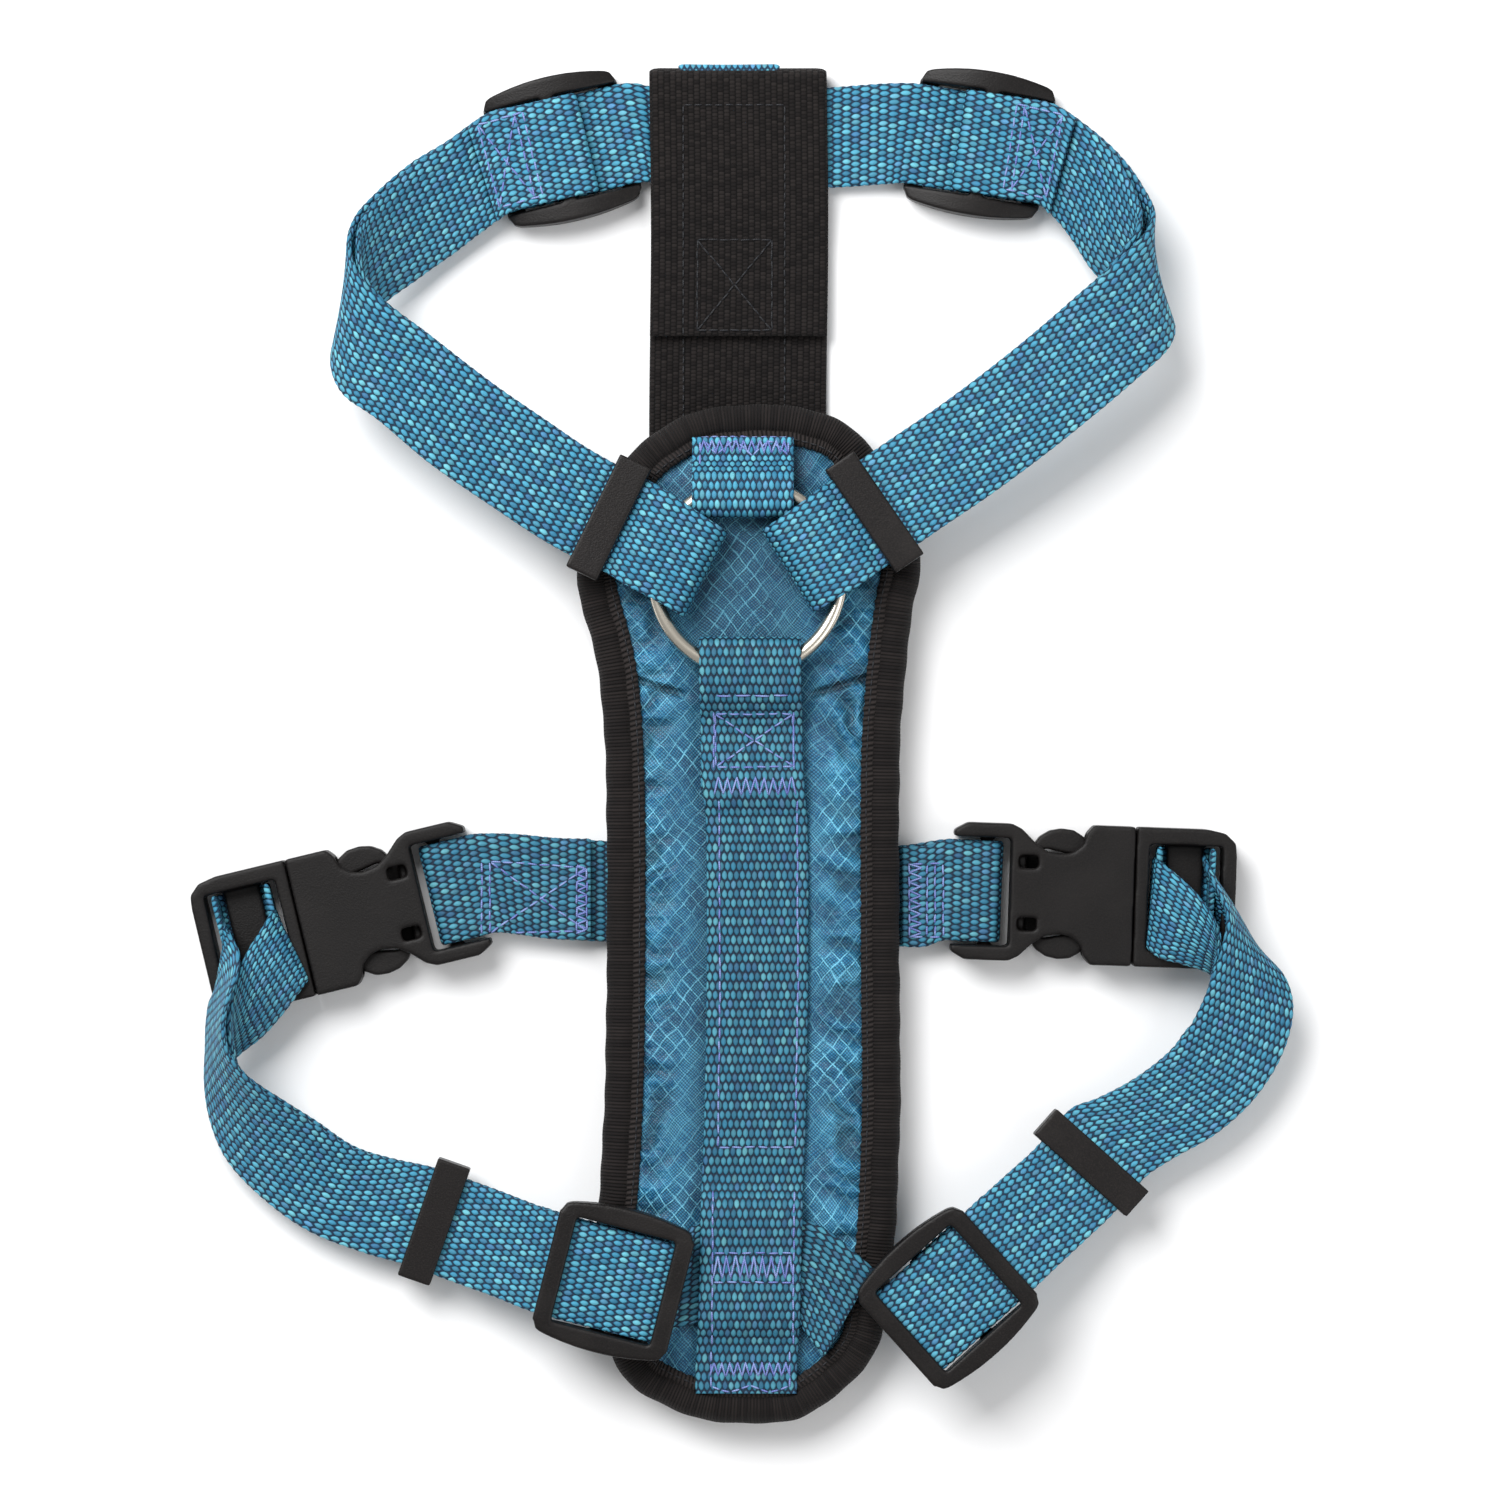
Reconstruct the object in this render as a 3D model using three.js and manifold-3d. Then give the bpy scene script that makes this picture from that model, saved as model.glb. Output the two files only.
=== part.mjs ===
// Dog harness laid flat: padded back plate on top, chest panel underneath,
// a neck loop and two girth loops of webbing, side-release buckles, slide
// adjusters, strap keepers and a lead ring. Millimetres, +Z up, origin at the
// middle of the footprint on the surface the harness lies on.
import * as THREE from 'three';
import { mergeVertices } from 'three/addons/utils/BufferGeometryUtils.js';
import Module from 'manifold-3d';

const wasm = await Module();
wasm.setup();

// ---- driving dimensions --------------------------------------------------
const WEB_W = 25.4;        // webbing width (1 in)
const WEB_T = 1.4;         // webbing thickness
const PLY = 1.75;          // centre distance of two webbing layers lying together
const GAP = 0.3;           // clearance between neighbouring pieces
const PLATE_Z0 = 7.2;      // underside of the back plate
const LINING_T = 1.2;
const FOAM_T = 3.4;
const FACE_T = 0.9;
const PLATE_TOP = PLATE_Z0 + LINING_T + GAP + FOAM_T + GAP + FACE_T;  // 13.3
const BIND_W = 6.8;        // width of the rolled binding
const PANEL_W = 42.8;      // chest panel width
const PANEL_T = 2.4;       // thickness of one ply of the chest panel
const RING_R = 23.25;      // lead ring, to the middle of the wire
const RING_WIRE = 1.75;    // wire radius
const RING_Z = PLATE_TOP + 5.6;
const GLIDE_L = 34.5;      // slide adjuster, along the strap
const GLIDE_W = 32.4;      // slide adjuster, across the strap
const GLIDE_BAR = 4.6;     // width of its end bars
const KEEP_L = 31;         // keeper, across the strap
const KEEP_W = 8.5;        // keeper, along the strap
const BUCKLE_W = 35;       // side-release buckle width
const BUCKLE_T = 11.4;     // side-release buckle thickness
const FEMALE_L = 45.5;     // housing length
const MALE_L = 25.5;       // length of the male half outside the housing
const THROAT_D = 27;       // depth of the housing's throat
const SHIFT_X = 1.815;      // moves the middle of the footprint to the origin
const SHIFT_Y = 0.325;
const SHIFT_Z = -0.01;

const COL = { web: 0x3f8ea6, rip: 0x3f86a0, black: 0x24211f, plastic: 0x2b2928, foam: 0x4a4a4a, steel: 0xc9c4ba };
const mat = {
  web: () => new THREE.MeshStandardMaterial({ color: COL.web, roughness: 0.85, metalness: 0 }),
  rip: () => new THREE.MeshStandardMaterial({ color: COL.rip, roughness: 0.6, metalness: 0 }),
  knit: () => new THREE.MeshStandardMaterial({ color: COL.black, roughness: 0.95, metalness: 0 }),
  foam: () => new THREE.MeshStandardMaterial({ color: COL.foam, roughness: 1, metalness: 0 }),
  plastic: () => new THREE.MeshStandardMaterial({ color: COL.plastic, roughness: 0.55, metalness: 0 }),
  steel: () => new THREE.MeshStandardMaterial({ color: COL.steel, roughness: 0.28, metalness: 1 }),
};

const group = new THREE.Group();
const put = (name, geometry, material) => {
  const m = new THREE.Mesh(geometry, material);
  m.name = name;
  group.add(m);
  return m;
};

// ---- helpers -------------------------------------------------------------
const V = (x, y, z) => new THREE.Vector3(x, y, z);

// closed ribbon from frames: each frame has a centre c, half width vector w, half thickness vector n
function ribbonSolid(frames) {
  const g = new THREE.BufferGeometry();
  const pos = [];
  const idx = [];
  for (const f of frames) {
    for (const [a, b] of [[1, 1], [-1, 1], [-1, -1], [1, -1]]) {
      const p = f.c.clone().addScaledVector(f.w, a).addScaledVector(f.n, b);
      pos.push(p.x, p.y, p.z);
    }
  }
  const last = frames.length - 1;
  for (let i = 0; i < last; i++) {
    for (let k = 0; k < 4; k++) {
      const a = i * 4 + k, b = i * 4 + ((k + 1) % 4), c = a + 4, d = b + 4;
      idx.push(a, b, d, a, d, c);
    }
  }
  idx.push(0, 2, 1, 0, 3, 2);
  const e = last * 4;
  idx.push(e, e + 1, e + 2, e, e + 2, e + 3);
  // the faces are turned out if the volume comes out negative
  let vol = 0;
  for (let i = 0; i < idx.length; i += 3) {
    const q = (j) => V(pos[idx[i + j] * 3], pos[idx[i + j] * 3 + 1], pos[idx[i + j] * 3 + 2]);
    vol += q(0).dot(q(1).cross(q(2)));
  }
  if (vol < 0) for (let i = 0; i < idx.length; i += 3) [idx[i], idx[i + 1]] = [idx[i + 1], idx[i]];
  g.setAttribute('position', new THREE.Float32BufferAttribute(pos, 3));
  g.setIndex(idx);
  g.computeVertexNormals();
  return g;
}

// a station is [ux, uy, vx, vy, uz, vz]: the two selvedges of the webbing
function strapFrames(st, count, width = WEB_W) {
  const cU = new THREE.CatmullRomCurve3(st.map((s) => V(s[0], s[1], s[4])), false, 'centripetal');
  const cV = new THREE.CatmullRomCurve3(st.map((s) => V(s[2], s[3], s[5])), false, 'centripetal');
  const raw = [];
  const fine = 400;
  for (let i = 0; i <= fine; i++) {
    const t = i / fine;
    const u = cU.getPoint(t), v = cV.getPoint(t);
    raw.push({ c: u.clone().add(v).multiplyScalar(0.5), w: u.clone().sub(v).normalize(), t });
  }
  const len = [0];
  for (let i = 1; i <= fine; i++) len.push(len[i - 1] + raw[i].c.distanceTo(raw[i - 1].c));
  const at = (s) => {
    s = Math.min(Math.max(s, 0), len[fine]);
    let i = 1;
    while (i < fine && len[i] < s) i++;
    const k = (s - len[i - 1]) / Math.max(len[i] - len[i - 1], 1e-9);
    return { c: raw[i - 1].c.clone().lerp(raw[i].c, k), w: raw[i - 1].w.clone().lerp(raw[i].w, k).normalize() };
  };
  const total = len[fine];
  const frame = (s) => {
    const a = at(s - 0.4), b = at(s + 0.4), m = at(s);
    const t = b.c.clone().sub(a.c).normalize();
    const w = m.w.clone().addScaledVector(t, -m.w.dot(t)).normalize();
    const n = t.clone().cross(w).normalize();
    return { c: m.c, t, w, n };
  };
  return { total, frame, width };
}

// frames of a run along a strap surface, s in mm along it, off(s) in mm along the normal
function run(surf, s0, s1, count, off = () => 0) {
  const out = [];
  for (let i = 0; i <= count; i++) {
    const s = s0 + (s1 - s0) * i / count;
    const f = surf.frame(s);
    out.push({ c: f.c.clone().addScaledVector(f.n, off(s)), w: f.w, n: f.n, t: f.t });
  }
  return out;
}

// ribbon through centres with a fixed width direction; the thickness follows the path
function pathRibbon(centres, wdir, width = WEB_W, thick = WEB_T) {
  const w = wdir.clone().normalize();
  const frames = [];
  for (let i = 0; i < centres.length; i++) {
    const a = centres[Math.max(i - 1, 0)], b = centres[Math.min(i + 1, centres.length - 1)];
    const t = b.clone().sub(a).normalize();
    const n = t.clone().cross(w).normalize();
    let stretch = 1;
    if (i > 0 && i < centres.length - 1) {
      const t1 = centres[i].clone().sub(a).normalize(), t2 = b.clone().sub(centres[i]).normalize();
      stretch = 1 / Math.max(Math.sqrt((1 + t1.dot(t2)) / 2), 0.7);
    }
    frames.push({ c: centres[i].clone(), w: w.clone().multiplyScalar(width / 2), n: n.multiplyScalar(thick / 2 * stretch) });
  }
  return ribbonSolid(frames);
}

// frames whose thickness direction is recomputed from the path of the centres
function ribbonFrom(frames, width = WEB_W, thick = WEB_T) {
  const out = frames.map((f, i) => {
    const a = frames[Math.max(i - 1, 0)].c, b = frames[Math.min(i + 1, frames.length - 1)].c;
    let t = b.clone().sub(a).normalize();
    if (f.t && (i === 0 || i === frames.length - 1)) t = f.t.clone().multiplyScalar(Math.sign(f.t.dot(t)));
    const w = f.w.clone().addScaledVector(t, -f.w.dot(t)).normalize();
    const n = t.clone().cross(w).normalize();
    return { c: f.c.clone(), w: w.multiplyScalar(width / 2), n: n.multiplyScalar(thick / 2) };
  });
  return ribbonSolid(out);
}

const solid = (g) => {
  let s = g.index ? g.toNonIndexed() : g.clone();
  for (const k of Object.keys(s.attributes)) if (k !== 'position') s.deleteAttribute(k);
  s = mergeVertices(s, 1e-5);
  return new wasm.Manifold(new wasm.Mesh({ numProp: 3, vertProperties: new Float32Array(s.attributes.position.array), triVerts: new Uint32Array(s.index.array) }));
};
const geom = (m) => {
  const k = m.getMesh();
  const g = new THREE.BufferGeometry();
  g.setAttribute('position', new THREE.Float32BufferAttribute(new Float32Array(k.vertProperties), 3));
  g.setIndex(Array.from(k.triVerts));
  g.computeVertexNormals();
  return g;
};
const box = (x0, x1, y0, y1, z0, z1) => {
  const g = new THREE.BoxGeometry(x1 - x0, y1 - y0, z1 - z0);
  g.translate((x0 + x1) / 2, (y0 + y1) / 2, (z0 + z1) / 2);
  return g;
};
const prism = (pts, z0, z1) => {
  const sh = new THREE.Shape(pts.map(([x, y]) => new THREE.Vector2(x, y)));
  const g = new THREE.ExtrudeGeometry(sh, { depth: z1 - z0, bevelEnabled: false });
  g.translate(0, 0, z0);
  return g;
};
const place = (c, x, w, n) => new THREE.Matrix4().makeBasis(x, w, n).setPosition(c);

// ---- back plate ----------------------------------------------------------
// outer outline of the bound edge, anticlockwise from the front
const PLATE = [
  [-0.25, 85.00], [-11.25, 83.50], [-20.25, 79.50], [-29.25, 72.25], [-36.75, 59.75], [-41.25, 49.75], [-42.00, 41.00], [-40.75, 34.00], [-38.50, 26.00], [-36.50, 16.00], [-35.00, -4.00],
  [-34.75, -64.00], [-35.25, -89.00], [-36.25, -109.00], [-37.25, -121.50], [-36.25, -139.00], [-33.50, -152.75], [-28.75, -160.50], [-21.25, -165.25], [-11.25, -169.00], [0.00, -170.25],
  [12.50, -169.25], [21.75, -164.00], [29.50, -157.00], [33.50, -150.25], [35.75, -139.00], [37.50, -124.00], [38.50, -106.00], [39.00, -85.00], [38.75, -64.00], [38.75, -4.00],
  [39.25, 6.25], [40.50, 21.25], [42.25, 34.75], [44.00, 44.75], [42.25, 53.50], [38.00, 64.75], [31.75, 74.00], [25.00, 80.50], [13.75, 84.25],
];
const outlinePts = (n, inset) => {
  const c = new THREE.CatmullRomCurve3(PLATE.map(([x, y]) => V(x, y, 0)), true, 'centripetal');
  const p = c.getSpacedPoints(n).slice(0, n);
  return p.map((q, i) => {
    const a = p[(i + n - 1) % n], b = p[(i + 1) % n];
    const t = b.clone().sub(a).normalize();
    return [q.x - t.y * inset, q.y + t.x * inset];
  });
};
const NP = 56;
// the outline runs anticlockwise, so a positive inset moves a point inwards
const z1 = PLATE_Z0 + LINING_T, z2 = z1 + GAP, z3 = z2 + FOAM_T, z4 = z3 + GAP;
put('plate_lining', prism(outlinePts(NP, 2.0), PLATE_Z0, z1), mat.knit());
put('plate_foam', prism(outlinePts(NP, 2.0), z2, z3), mat.foam());
put('plate_face', prism(outlinePts(NP, 2.0), z4, PLATE_TOP), mat.rip());
{
  // folded binding: a C section round the edge, open inwards
  const a = solid(prism(outlinePts(NP, 0), PLATE_Z0 - 0.6, PLATE_TOP + 0.6));
  const slot = solid(prism(outlinePts(NP, 1.7), PLATE_Z0 - 0.3 + 0, PLATE_TOP + 0.3));
  const hole = solid(prism(outlinePts(NP, BIND_W), PLATE_Z0 - 2, PLATE_TOP + 2));
  put('plate_binding', geom(a.subtract(slot).subtract(hole)), mat.knit());
}

// ---- chest panel ---------------------------------------------------------
// one strip folded over the neck webbing in front and the girth webbing behind
{
  const zt = PANEL_T / 2 + 0.02, zu = PANEL_T + 2.1 + PANEL_T / 2;
  const r = (zu - zt) / 2, zc = (zu + zt) / 2;
  const yF = 169.6, yR = -51, xc = -1.9;
  const pts = [];
  const lower = PANEL_T * 1.5 + GAP;
  pts.push(V(xc, 103, lower), V(xc, 114, lower), V(xc, 126, lower), V(xc, 138, zu), V(xc, 152, zu));
  for (let i = 0; i <= 8; i++) { const a = Math.PI / 2 - Math.PI * i / 8; pts.push(V(xc, yF - PANEL_T / 2 - r + Math.cos(a) * r, zc + Math.sin(a) * r)); }
  pts.push(V(xc, 140, zt), V(xc, 60, zt), V(xc, 0, zt), V(xc, -30, zt));
  for (let i = 0; i <= 8; i++) { const a = -Math.PI / 2 - Math.PI * i / 8; pts.push(V(xc, yR - PANEL_T / 2 + r + 0 + Math.cos(a) * r - 3.6, zc + Math.sin(a) * r)); }
  pts.push(V(xc, -22, zu), V(xc, -13, lower), V(xc, -2, lower));
  put('chest_panel', pathRibbon(pts, V(1, 0, 0), PANEL_W, PANEL_T), mat.knit());
}

// ---- lead ring -----------------------------------------------------------
const RC = V(0.62, 41.50, RING_Z);
{
  const prof = [];
  for (let i = 0; i <= 10; i++) { const a = 2 * Math.PI * i / 10; prof.push(new THREE.Vector2(RING_R + RING_WIRE * Math.cos(a), RING_WIRE * Math.sin(a))); }
  prof[10].copy(prof[0]);
  const g = new THREE.LatheGeometry(prof, 40);
  g.rotateX(Math.PI / 2);
  g.translate(RC.x, RC.y, RC.z);
  put('o_ring', geom(solid(g)), mat.steel());
}

const zAnchorLow = PLATE_TOP + 2.7, zAnchorTop = PLATE_TOP + 8.3;
const foldYZ = (x, y0, sgn, z0, z1, n = 8) => {
  // half turn in the YZ plane from height z0 to z1; sgn is the side it bulges to
  const r = Math.abs(z1 - z0) / 2, zc = (z1 + z0) / 2, up = Math.sign(z1 - z0), o = [];
  for (let i = 0; i <= n; i++) { const a = -Math.PI / 2 + Math.PI * i / n; o.push(V(x, y0 + sgn * Math.cos(a) * r, zc + up * Math.sin(a) * r)); }
  return o;
};
{
  // front loop: sewn to the plate ahead of the ring and folded round the wire
  const x = -0.5, low = PLATE_TOP + 1.0;
  const rF = (zAnchorTop - zAnchorLow) / 2 + WEB_T / 2;
  const yEnd = 56.4 + rF;      // the fold reaches 56.4 mm
  const pts = [V(x, 74.8, low), V(x, 72, low), V(x, 69.5, low), V(x, 66.5, zAnchorLow), V(x, 63, zAnchorLow)];
  pts.push(...foldYZ(x, yEnd, -1, zAnchorLow, zAnchorTop));
  pts.push(V(x, 64, zAnchorTop), V(x, 66.5, zAnchorTop - 0.4), V(x, 71.2, low + PLY), V(x, 73, low + PLY), V(x, 74.8, low + PLY));
  put('ring_loop_webbing', pathRibbon(pts, V(1, 0, 0)), mat.web());
}
{
  // spine webbing: starts under itself, folds round the rear of the ring and
  // runs to the rear end of the plate over the crossing girth webbing
  const low = PLATE_TOP + 1.0, top = PLATE_TOP + 2.75;
  const zl = PLATE_TOP + 2.4, zt = PLATE_TOP + 8.6;
  const r = (zt - zl) / 2;
  const yF = 26.7 - r - WEB_T / 2;
  const pts = [V(1.6, -12, low), V(1.6, 0, low), V(1.6, 8, low), V(1.4, 12, low + 0.3), V(1.3, 17, zl)];
  pts.push(...foldYZ(1.3, yF, 1, zl, zt));
  pts.push(V(1.3, 14.5, zt), V(1.4, 11.5, zt - 0.8), V(1.6, 5.5, top), V(1.8, -4, top), V(2.3, -12, top), V(2.8, -17, low + 0.2), V(3, -22, low),
    V(3.1, -60, low), V(2.3, -100, low), V(1.8, -109, low), V(1.7, -115.5, top + 0.95), V(1.4, -128, top + 0.95), V(1, -148.5, top + 0.95), V(0.7, -154.5, low), V(0.3, -160.8, low));
  put('spine_webbing', pathRibbon(pts, V(1, 0, 0)), mat.web());
}

// ---- neck webbing: outer layers as surfaces --------------------------------
const NZ = 4.4;           // webbing height at the neck adjusters
const sleeve = 3.45;     // webbing height inside the chest panel
const kz = 20.3;         // outer layer height at the front keepers
const zRingTop = PLATE_TOP + 10, zRingLow = PLATE_TOP + 1;
const NL = strapFrames([
  [0.60, 165.00, 0.60, 139.75, sleeve, sleeve],
  [-13.75, 165.00, -13.75, 139.75, sleeve, sleeve],
  [-19.25, 165.00, -19.00, 139.75, sleeve, sleeve],
  [-22.50, 165.25, -21.75, 140.00, sleeve + 0.1, sleeve + 0.05],
  [-28.25, 166.25, -23.75, 141.25, NZ - 0.1, NZ - 0.1],
  [-33.25, 165.75, -27.25, 141.10, NZ, NZ],
  [-40.12, 164.00, -34.12, 139.38, NZ, NZ],
  [-48.55, 162.00, -42.55, 137.38, NZ, NZ],
  [-57.00, 160.00, -51.00, 135.38, NZ, NZ],
  [-65.50, 158.00, -59.50, 133.38, NZ, NZ],
  [-73.25, 155.75, -67.00, 131.50, NZ + 0.6, NZ],
  [-80.00, 151.50, -72.25, 127.50, 8, 4.2],
  [-87.25, 145.25, -80.25, 122.50, 12, 4],
  [-94.25, 137.25, -89.25, 115.75, 17, 4.8],
  [-98.00, 129.50, -97.75, 108.25, 21.5, 8],
  [-98.50, 122.25, -102.75, 100.50, 24, 13],
  [-94.75, 114.50, -103.25, 92.25, 25, 18],
  [-86.75, 107.25, -98.75, 85.25, 24.6, 21.5],
  [-76.25, 99.50, -89.75, 78.25, 23.6, 23],
  [-63.75, 90.50, -77.75, 69.25, 22.4, 22.4],
  [-50.00, 81.00, -63.25, 59.25, 21.2, 21.2],
  [-39.25, 73.75, -50.75, 51.00, 20.6, 20.6],
  [-31.25, 69.25, -42.25, 46.25, kz, kz],
  [-27.25, 67.25, -38.25, 44.25, kz, kz],
  [-23.50, 65.50, -34.50, 42.50, kz + 0.2, kz + 0.2],
  [-20.75, 63.75, -32.00, 41.00, zRingTop - 1.0, zRingTop - 1.0],
  [-17.25, 61.50, -28.75, 39.00, zRingTop, zRingTop],
  [-11.25, 57.50, -22.50, 35.75, zRingTop, zRingTop],
  [-4.50, 52.75, -14.75, 31.50, zRingTop, zRingTop],
]);
const NR = strapFrames([
  [0.70, 165.00, 0.70, 139.75, sleeve, sleeve],
  [11.25, 165.00, 11.25, 139.75, sleeve, sleeve],
  [21.75, 165.25, 21.75, 140.00, sleeve, sleeve],
  [36.25, 166.25, 35.25, 140.75, NZ - 0.1, NZ - 0.1],
  [43.75, 166.07, 39.75, 141.07, NZ, NZ],
  [50.00, 165.07, 46.00, 140.07, NZ, NZ],
  [58.25, 163.75, 54.25, 138.75, NZ, NZ],
  [66.50, 162.43, 62.50, 137.43, NZ, NZ],
  [72.75, 161.43, 68.75, 136.43, NZ, NZ],
  [78.75, 160.50, 74.75, 135.50, NZ, NZ],
  [84.75, 158.00, 79.00, 133.75, NZ + 0.8, NZ],
  [90.75, 152.25, 82.75, 129.25, 8, 4.2],
  [96.75, 144.00, 87.50, 123.00, 12, 4],
  [101.00, 135.25, 93.75, 115.25, 17, 4.8],
  [101.50, 128.50, 101.75, 107.50, 21.5, 8],
  [98.25, 123.00, 106.75, 102.50, 24, 13],
  [91.25, 118.00, 106.25, 97.50, 25, 18],
  [82.50, 111.00, 99.00, 91.75, 24.6, 22],
  [72.50, 102.25, 88.50, 82.75, 23.6, 23],
  [60.00, 92.75, 75.25, 72.50, 22.4, 22.4],
  [47.50, 83.50, 61.75, 62.50, 21.2, 21.2],
  [36.00, 75.75, 50.00, 54.50, 20.6, 20.6],
  [28.00, 70.25, 42.00, 49.00, kz, kz],
  [24.00, 67.50, 38.00, 46.25, kz, kz],
  [20.50, 65.00, 34.50, 43.75, kz + 0.2, kz + 0.2],
  [18.25, 63.38, 32.25, 42.25, zRingTop - 1.0, zRingTop - 1.0],
  [15.25, 61.00, 29.25, 40.00, zRingTop, zRingTop],
  [10.50, 57.62, 24.00, 36.75, zRingTop, zRingTop],
  [4.50, 53.00, 16.75, 32.75, zRingTop, zRingTop],
]);

// nearest arc length on a surface to a plan point
const sAt = (surf, x, y) => {
  let best = 0, bd = 1e9;
  for (let s = 0; s <= surf.total; s += 0.25) {
    const c = surf.frame(s).c, d = Math.hypot(c.x - x, c.y - y);
    if (d < bd) { bd = d; best = s; }
  }
  return best;
};

// a slide adjuster with the end of the webbing looped round its middle bar.
// side is +1 when the end bars stand on the +normal side of the strap
function glide(name, surf, s, side, dir) {
  const f = surf.frame(s);
  const x = f.t.clone().multiplyScalar(dir), z = f.n.clone().multiplyScalar(side), y = z.clone().cross(x);
  const M = place(f.c, x, y, z);
  const hl = GLIDE_L / 2, hw = GLIDE_W / 2, iw = WEB_W / 2 + 0.5, zt = 3.0, zb = -4.8, r = 3;
  const sh = [];
  for (const [cx, cy, a0] of [[hl - r, hw - r, 0], [-hl + r, hw - r, 90], [-hl + r, -hw + r, 180], [hl - r, -hw + r, 270]])
    for (let i = 0; i <= 3; i++) { const a = (a0 + i * 30) * Math.PI / 180; sh.push([cx + r * Math.cos(a), cy + r * Math.sin(a)]); }
  let b = solid(prism(sh, zb, zt));
  b = b.subtract(solid(box(-hl + GLIDE_BAR, hl - GLIDE_BAR, -iw, iw, zb - 1, zt + 1)));
  b = b.subtract(solid(box(-hl - 1, hl + 1, -iw, iw, zb - 1, 1.0)));
  // the rails are deep only where they carry the middle bar
  b = b.subtract(solid(box(8, hl + 1, -hw - 1, hw + 1, zb - 1, -1.3)));
  b = b.subtract(solid(box(-hl - 1, -6, -hw - 1, hw + 1, zb - 1, -1.3)));
  b = b.add(solid(box(-0.5, 2.5, -iw - 0.5, iw + 0.5, -4.5, -2.7)));
  const g = geom(b);
  g.applyMatrix4(M);
  put(name, g, mat.plastic());
  // looped end of the webbing, in strap coordinates so it follows the strap
  const at = (q, h) => { const k = surf.frame(s + dir * q); return { c: k.c.clone().addScaledVector(k.n, side * h), w: k.w }; };
  const fr = [at(7.5, -1.75), at(5, -1.75), at(2.4, -1.7)];
  for (let i = 0; i <= 8; i++) { const a = Math.PI / 2 - Math.PI * i / 8; fr.push(at(-0.2 - 1.9 * Math.cos(a), -3.6 + 1.9 * Math.sin(a))); }
  fr.push(at(3, -5.5), at(6, -5.2), at(9, -4.5), at(12, -3.95), at(15, -3.85), at(19, -3.85), at(23, -3.85));
  put(name + '_webbing_loop', ribbonFrom(fr), mat.web());
  return { f, x, y, z };
}
// a keeper: a short rectangular sleeve round both layers
function keeper(name, surf, s, side) {
  const f = surf.frame(s);
  const z = f.n.clone().multiplyScalar(side), x = f.t.clone(), y = z.clone().cross(x);
  const M = place(f.c, x, y, z);
  const hl = KEEP_L / 2, hw = KEEP_W / 2;
  let b = solid(box(-hw, hw, -hl, hl, -4.4, 2.7));
  b = b.subtract(solid(box(-hw - 1, hw + 1, -13.2, 13.2, -2.9, 1.2)));
  const g = geom(b);
  g.applyMatrix4(M);
  put(name, g, mat.plastic());
  return { f, x };
}

// neck strap with its loop round the ring: inner layer, fold, outer layer
function neckStrap(name, surf, off, sG, out) {
  const end = surf.total, sK = end - out;     // the layers part after the keeper
  const r = (zRingTop - zRingLow) / 2;
  const sF = end - r - WEB_T / 2;
  const spread = (s) => {
    if (s <= sK) return PLY;
    const k = Math.min((s - sK) / 4.2, 1), e = k * k * (3 - 2 * k);
    const z = surf.frame(s).c.z;
    const low = (kz - PLY) + (zRingLow - (kz - PLY)) * e;
    return z - low;
  };
  const fr = run(surf, sG + 11, sF, 44, (s) => off * spread(s));
  const k = surf.frame(sF);
  const t = k.t.clone(); t.z = 0; t.normalize();
  for (let i = 1; i < 9; i++) {
    const a = -Math.PI / 2 + Math.PI * i / 9;
    const c = k.c.clone(); c.z = (zRingTop + zRingLow) / 2 + r * Math.sin(a);
    c.addScaledVector(t, r * Math.cos(a));
    fr.push({ c, w: k.w });
  }
  fr.push(...run(surf, sF, 0.15, 54));
  put(name, ribbonFrom(fr), mat.web());
}
const sGL = sAt(NL, -46.00, 149.62), sGR = sAt(NR, 59.00, 150.90);
const sKL = sAt(NL, -34.00, 56.50), sKR = sAt(NR, 32.25, 57.75);
neckStrap('neck_strap_left', NL, -1, sGL, 19.4);
neckStrap('neck_strap_right', NR, 1, sGR, 20.4);
const info = {};
info.glideNL = glide('neck_adjuster_left', NL, sGL, 1, 1);
info.glideNR = glide('neck_adjuster_right', NR, sGR, -1, 1);
info.keepNL = keeper('neck_keeper_left', NL, sKL, 1);
info.keepNR = keeper('neck_keeper_right', NR, sKR, -1);

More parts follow.
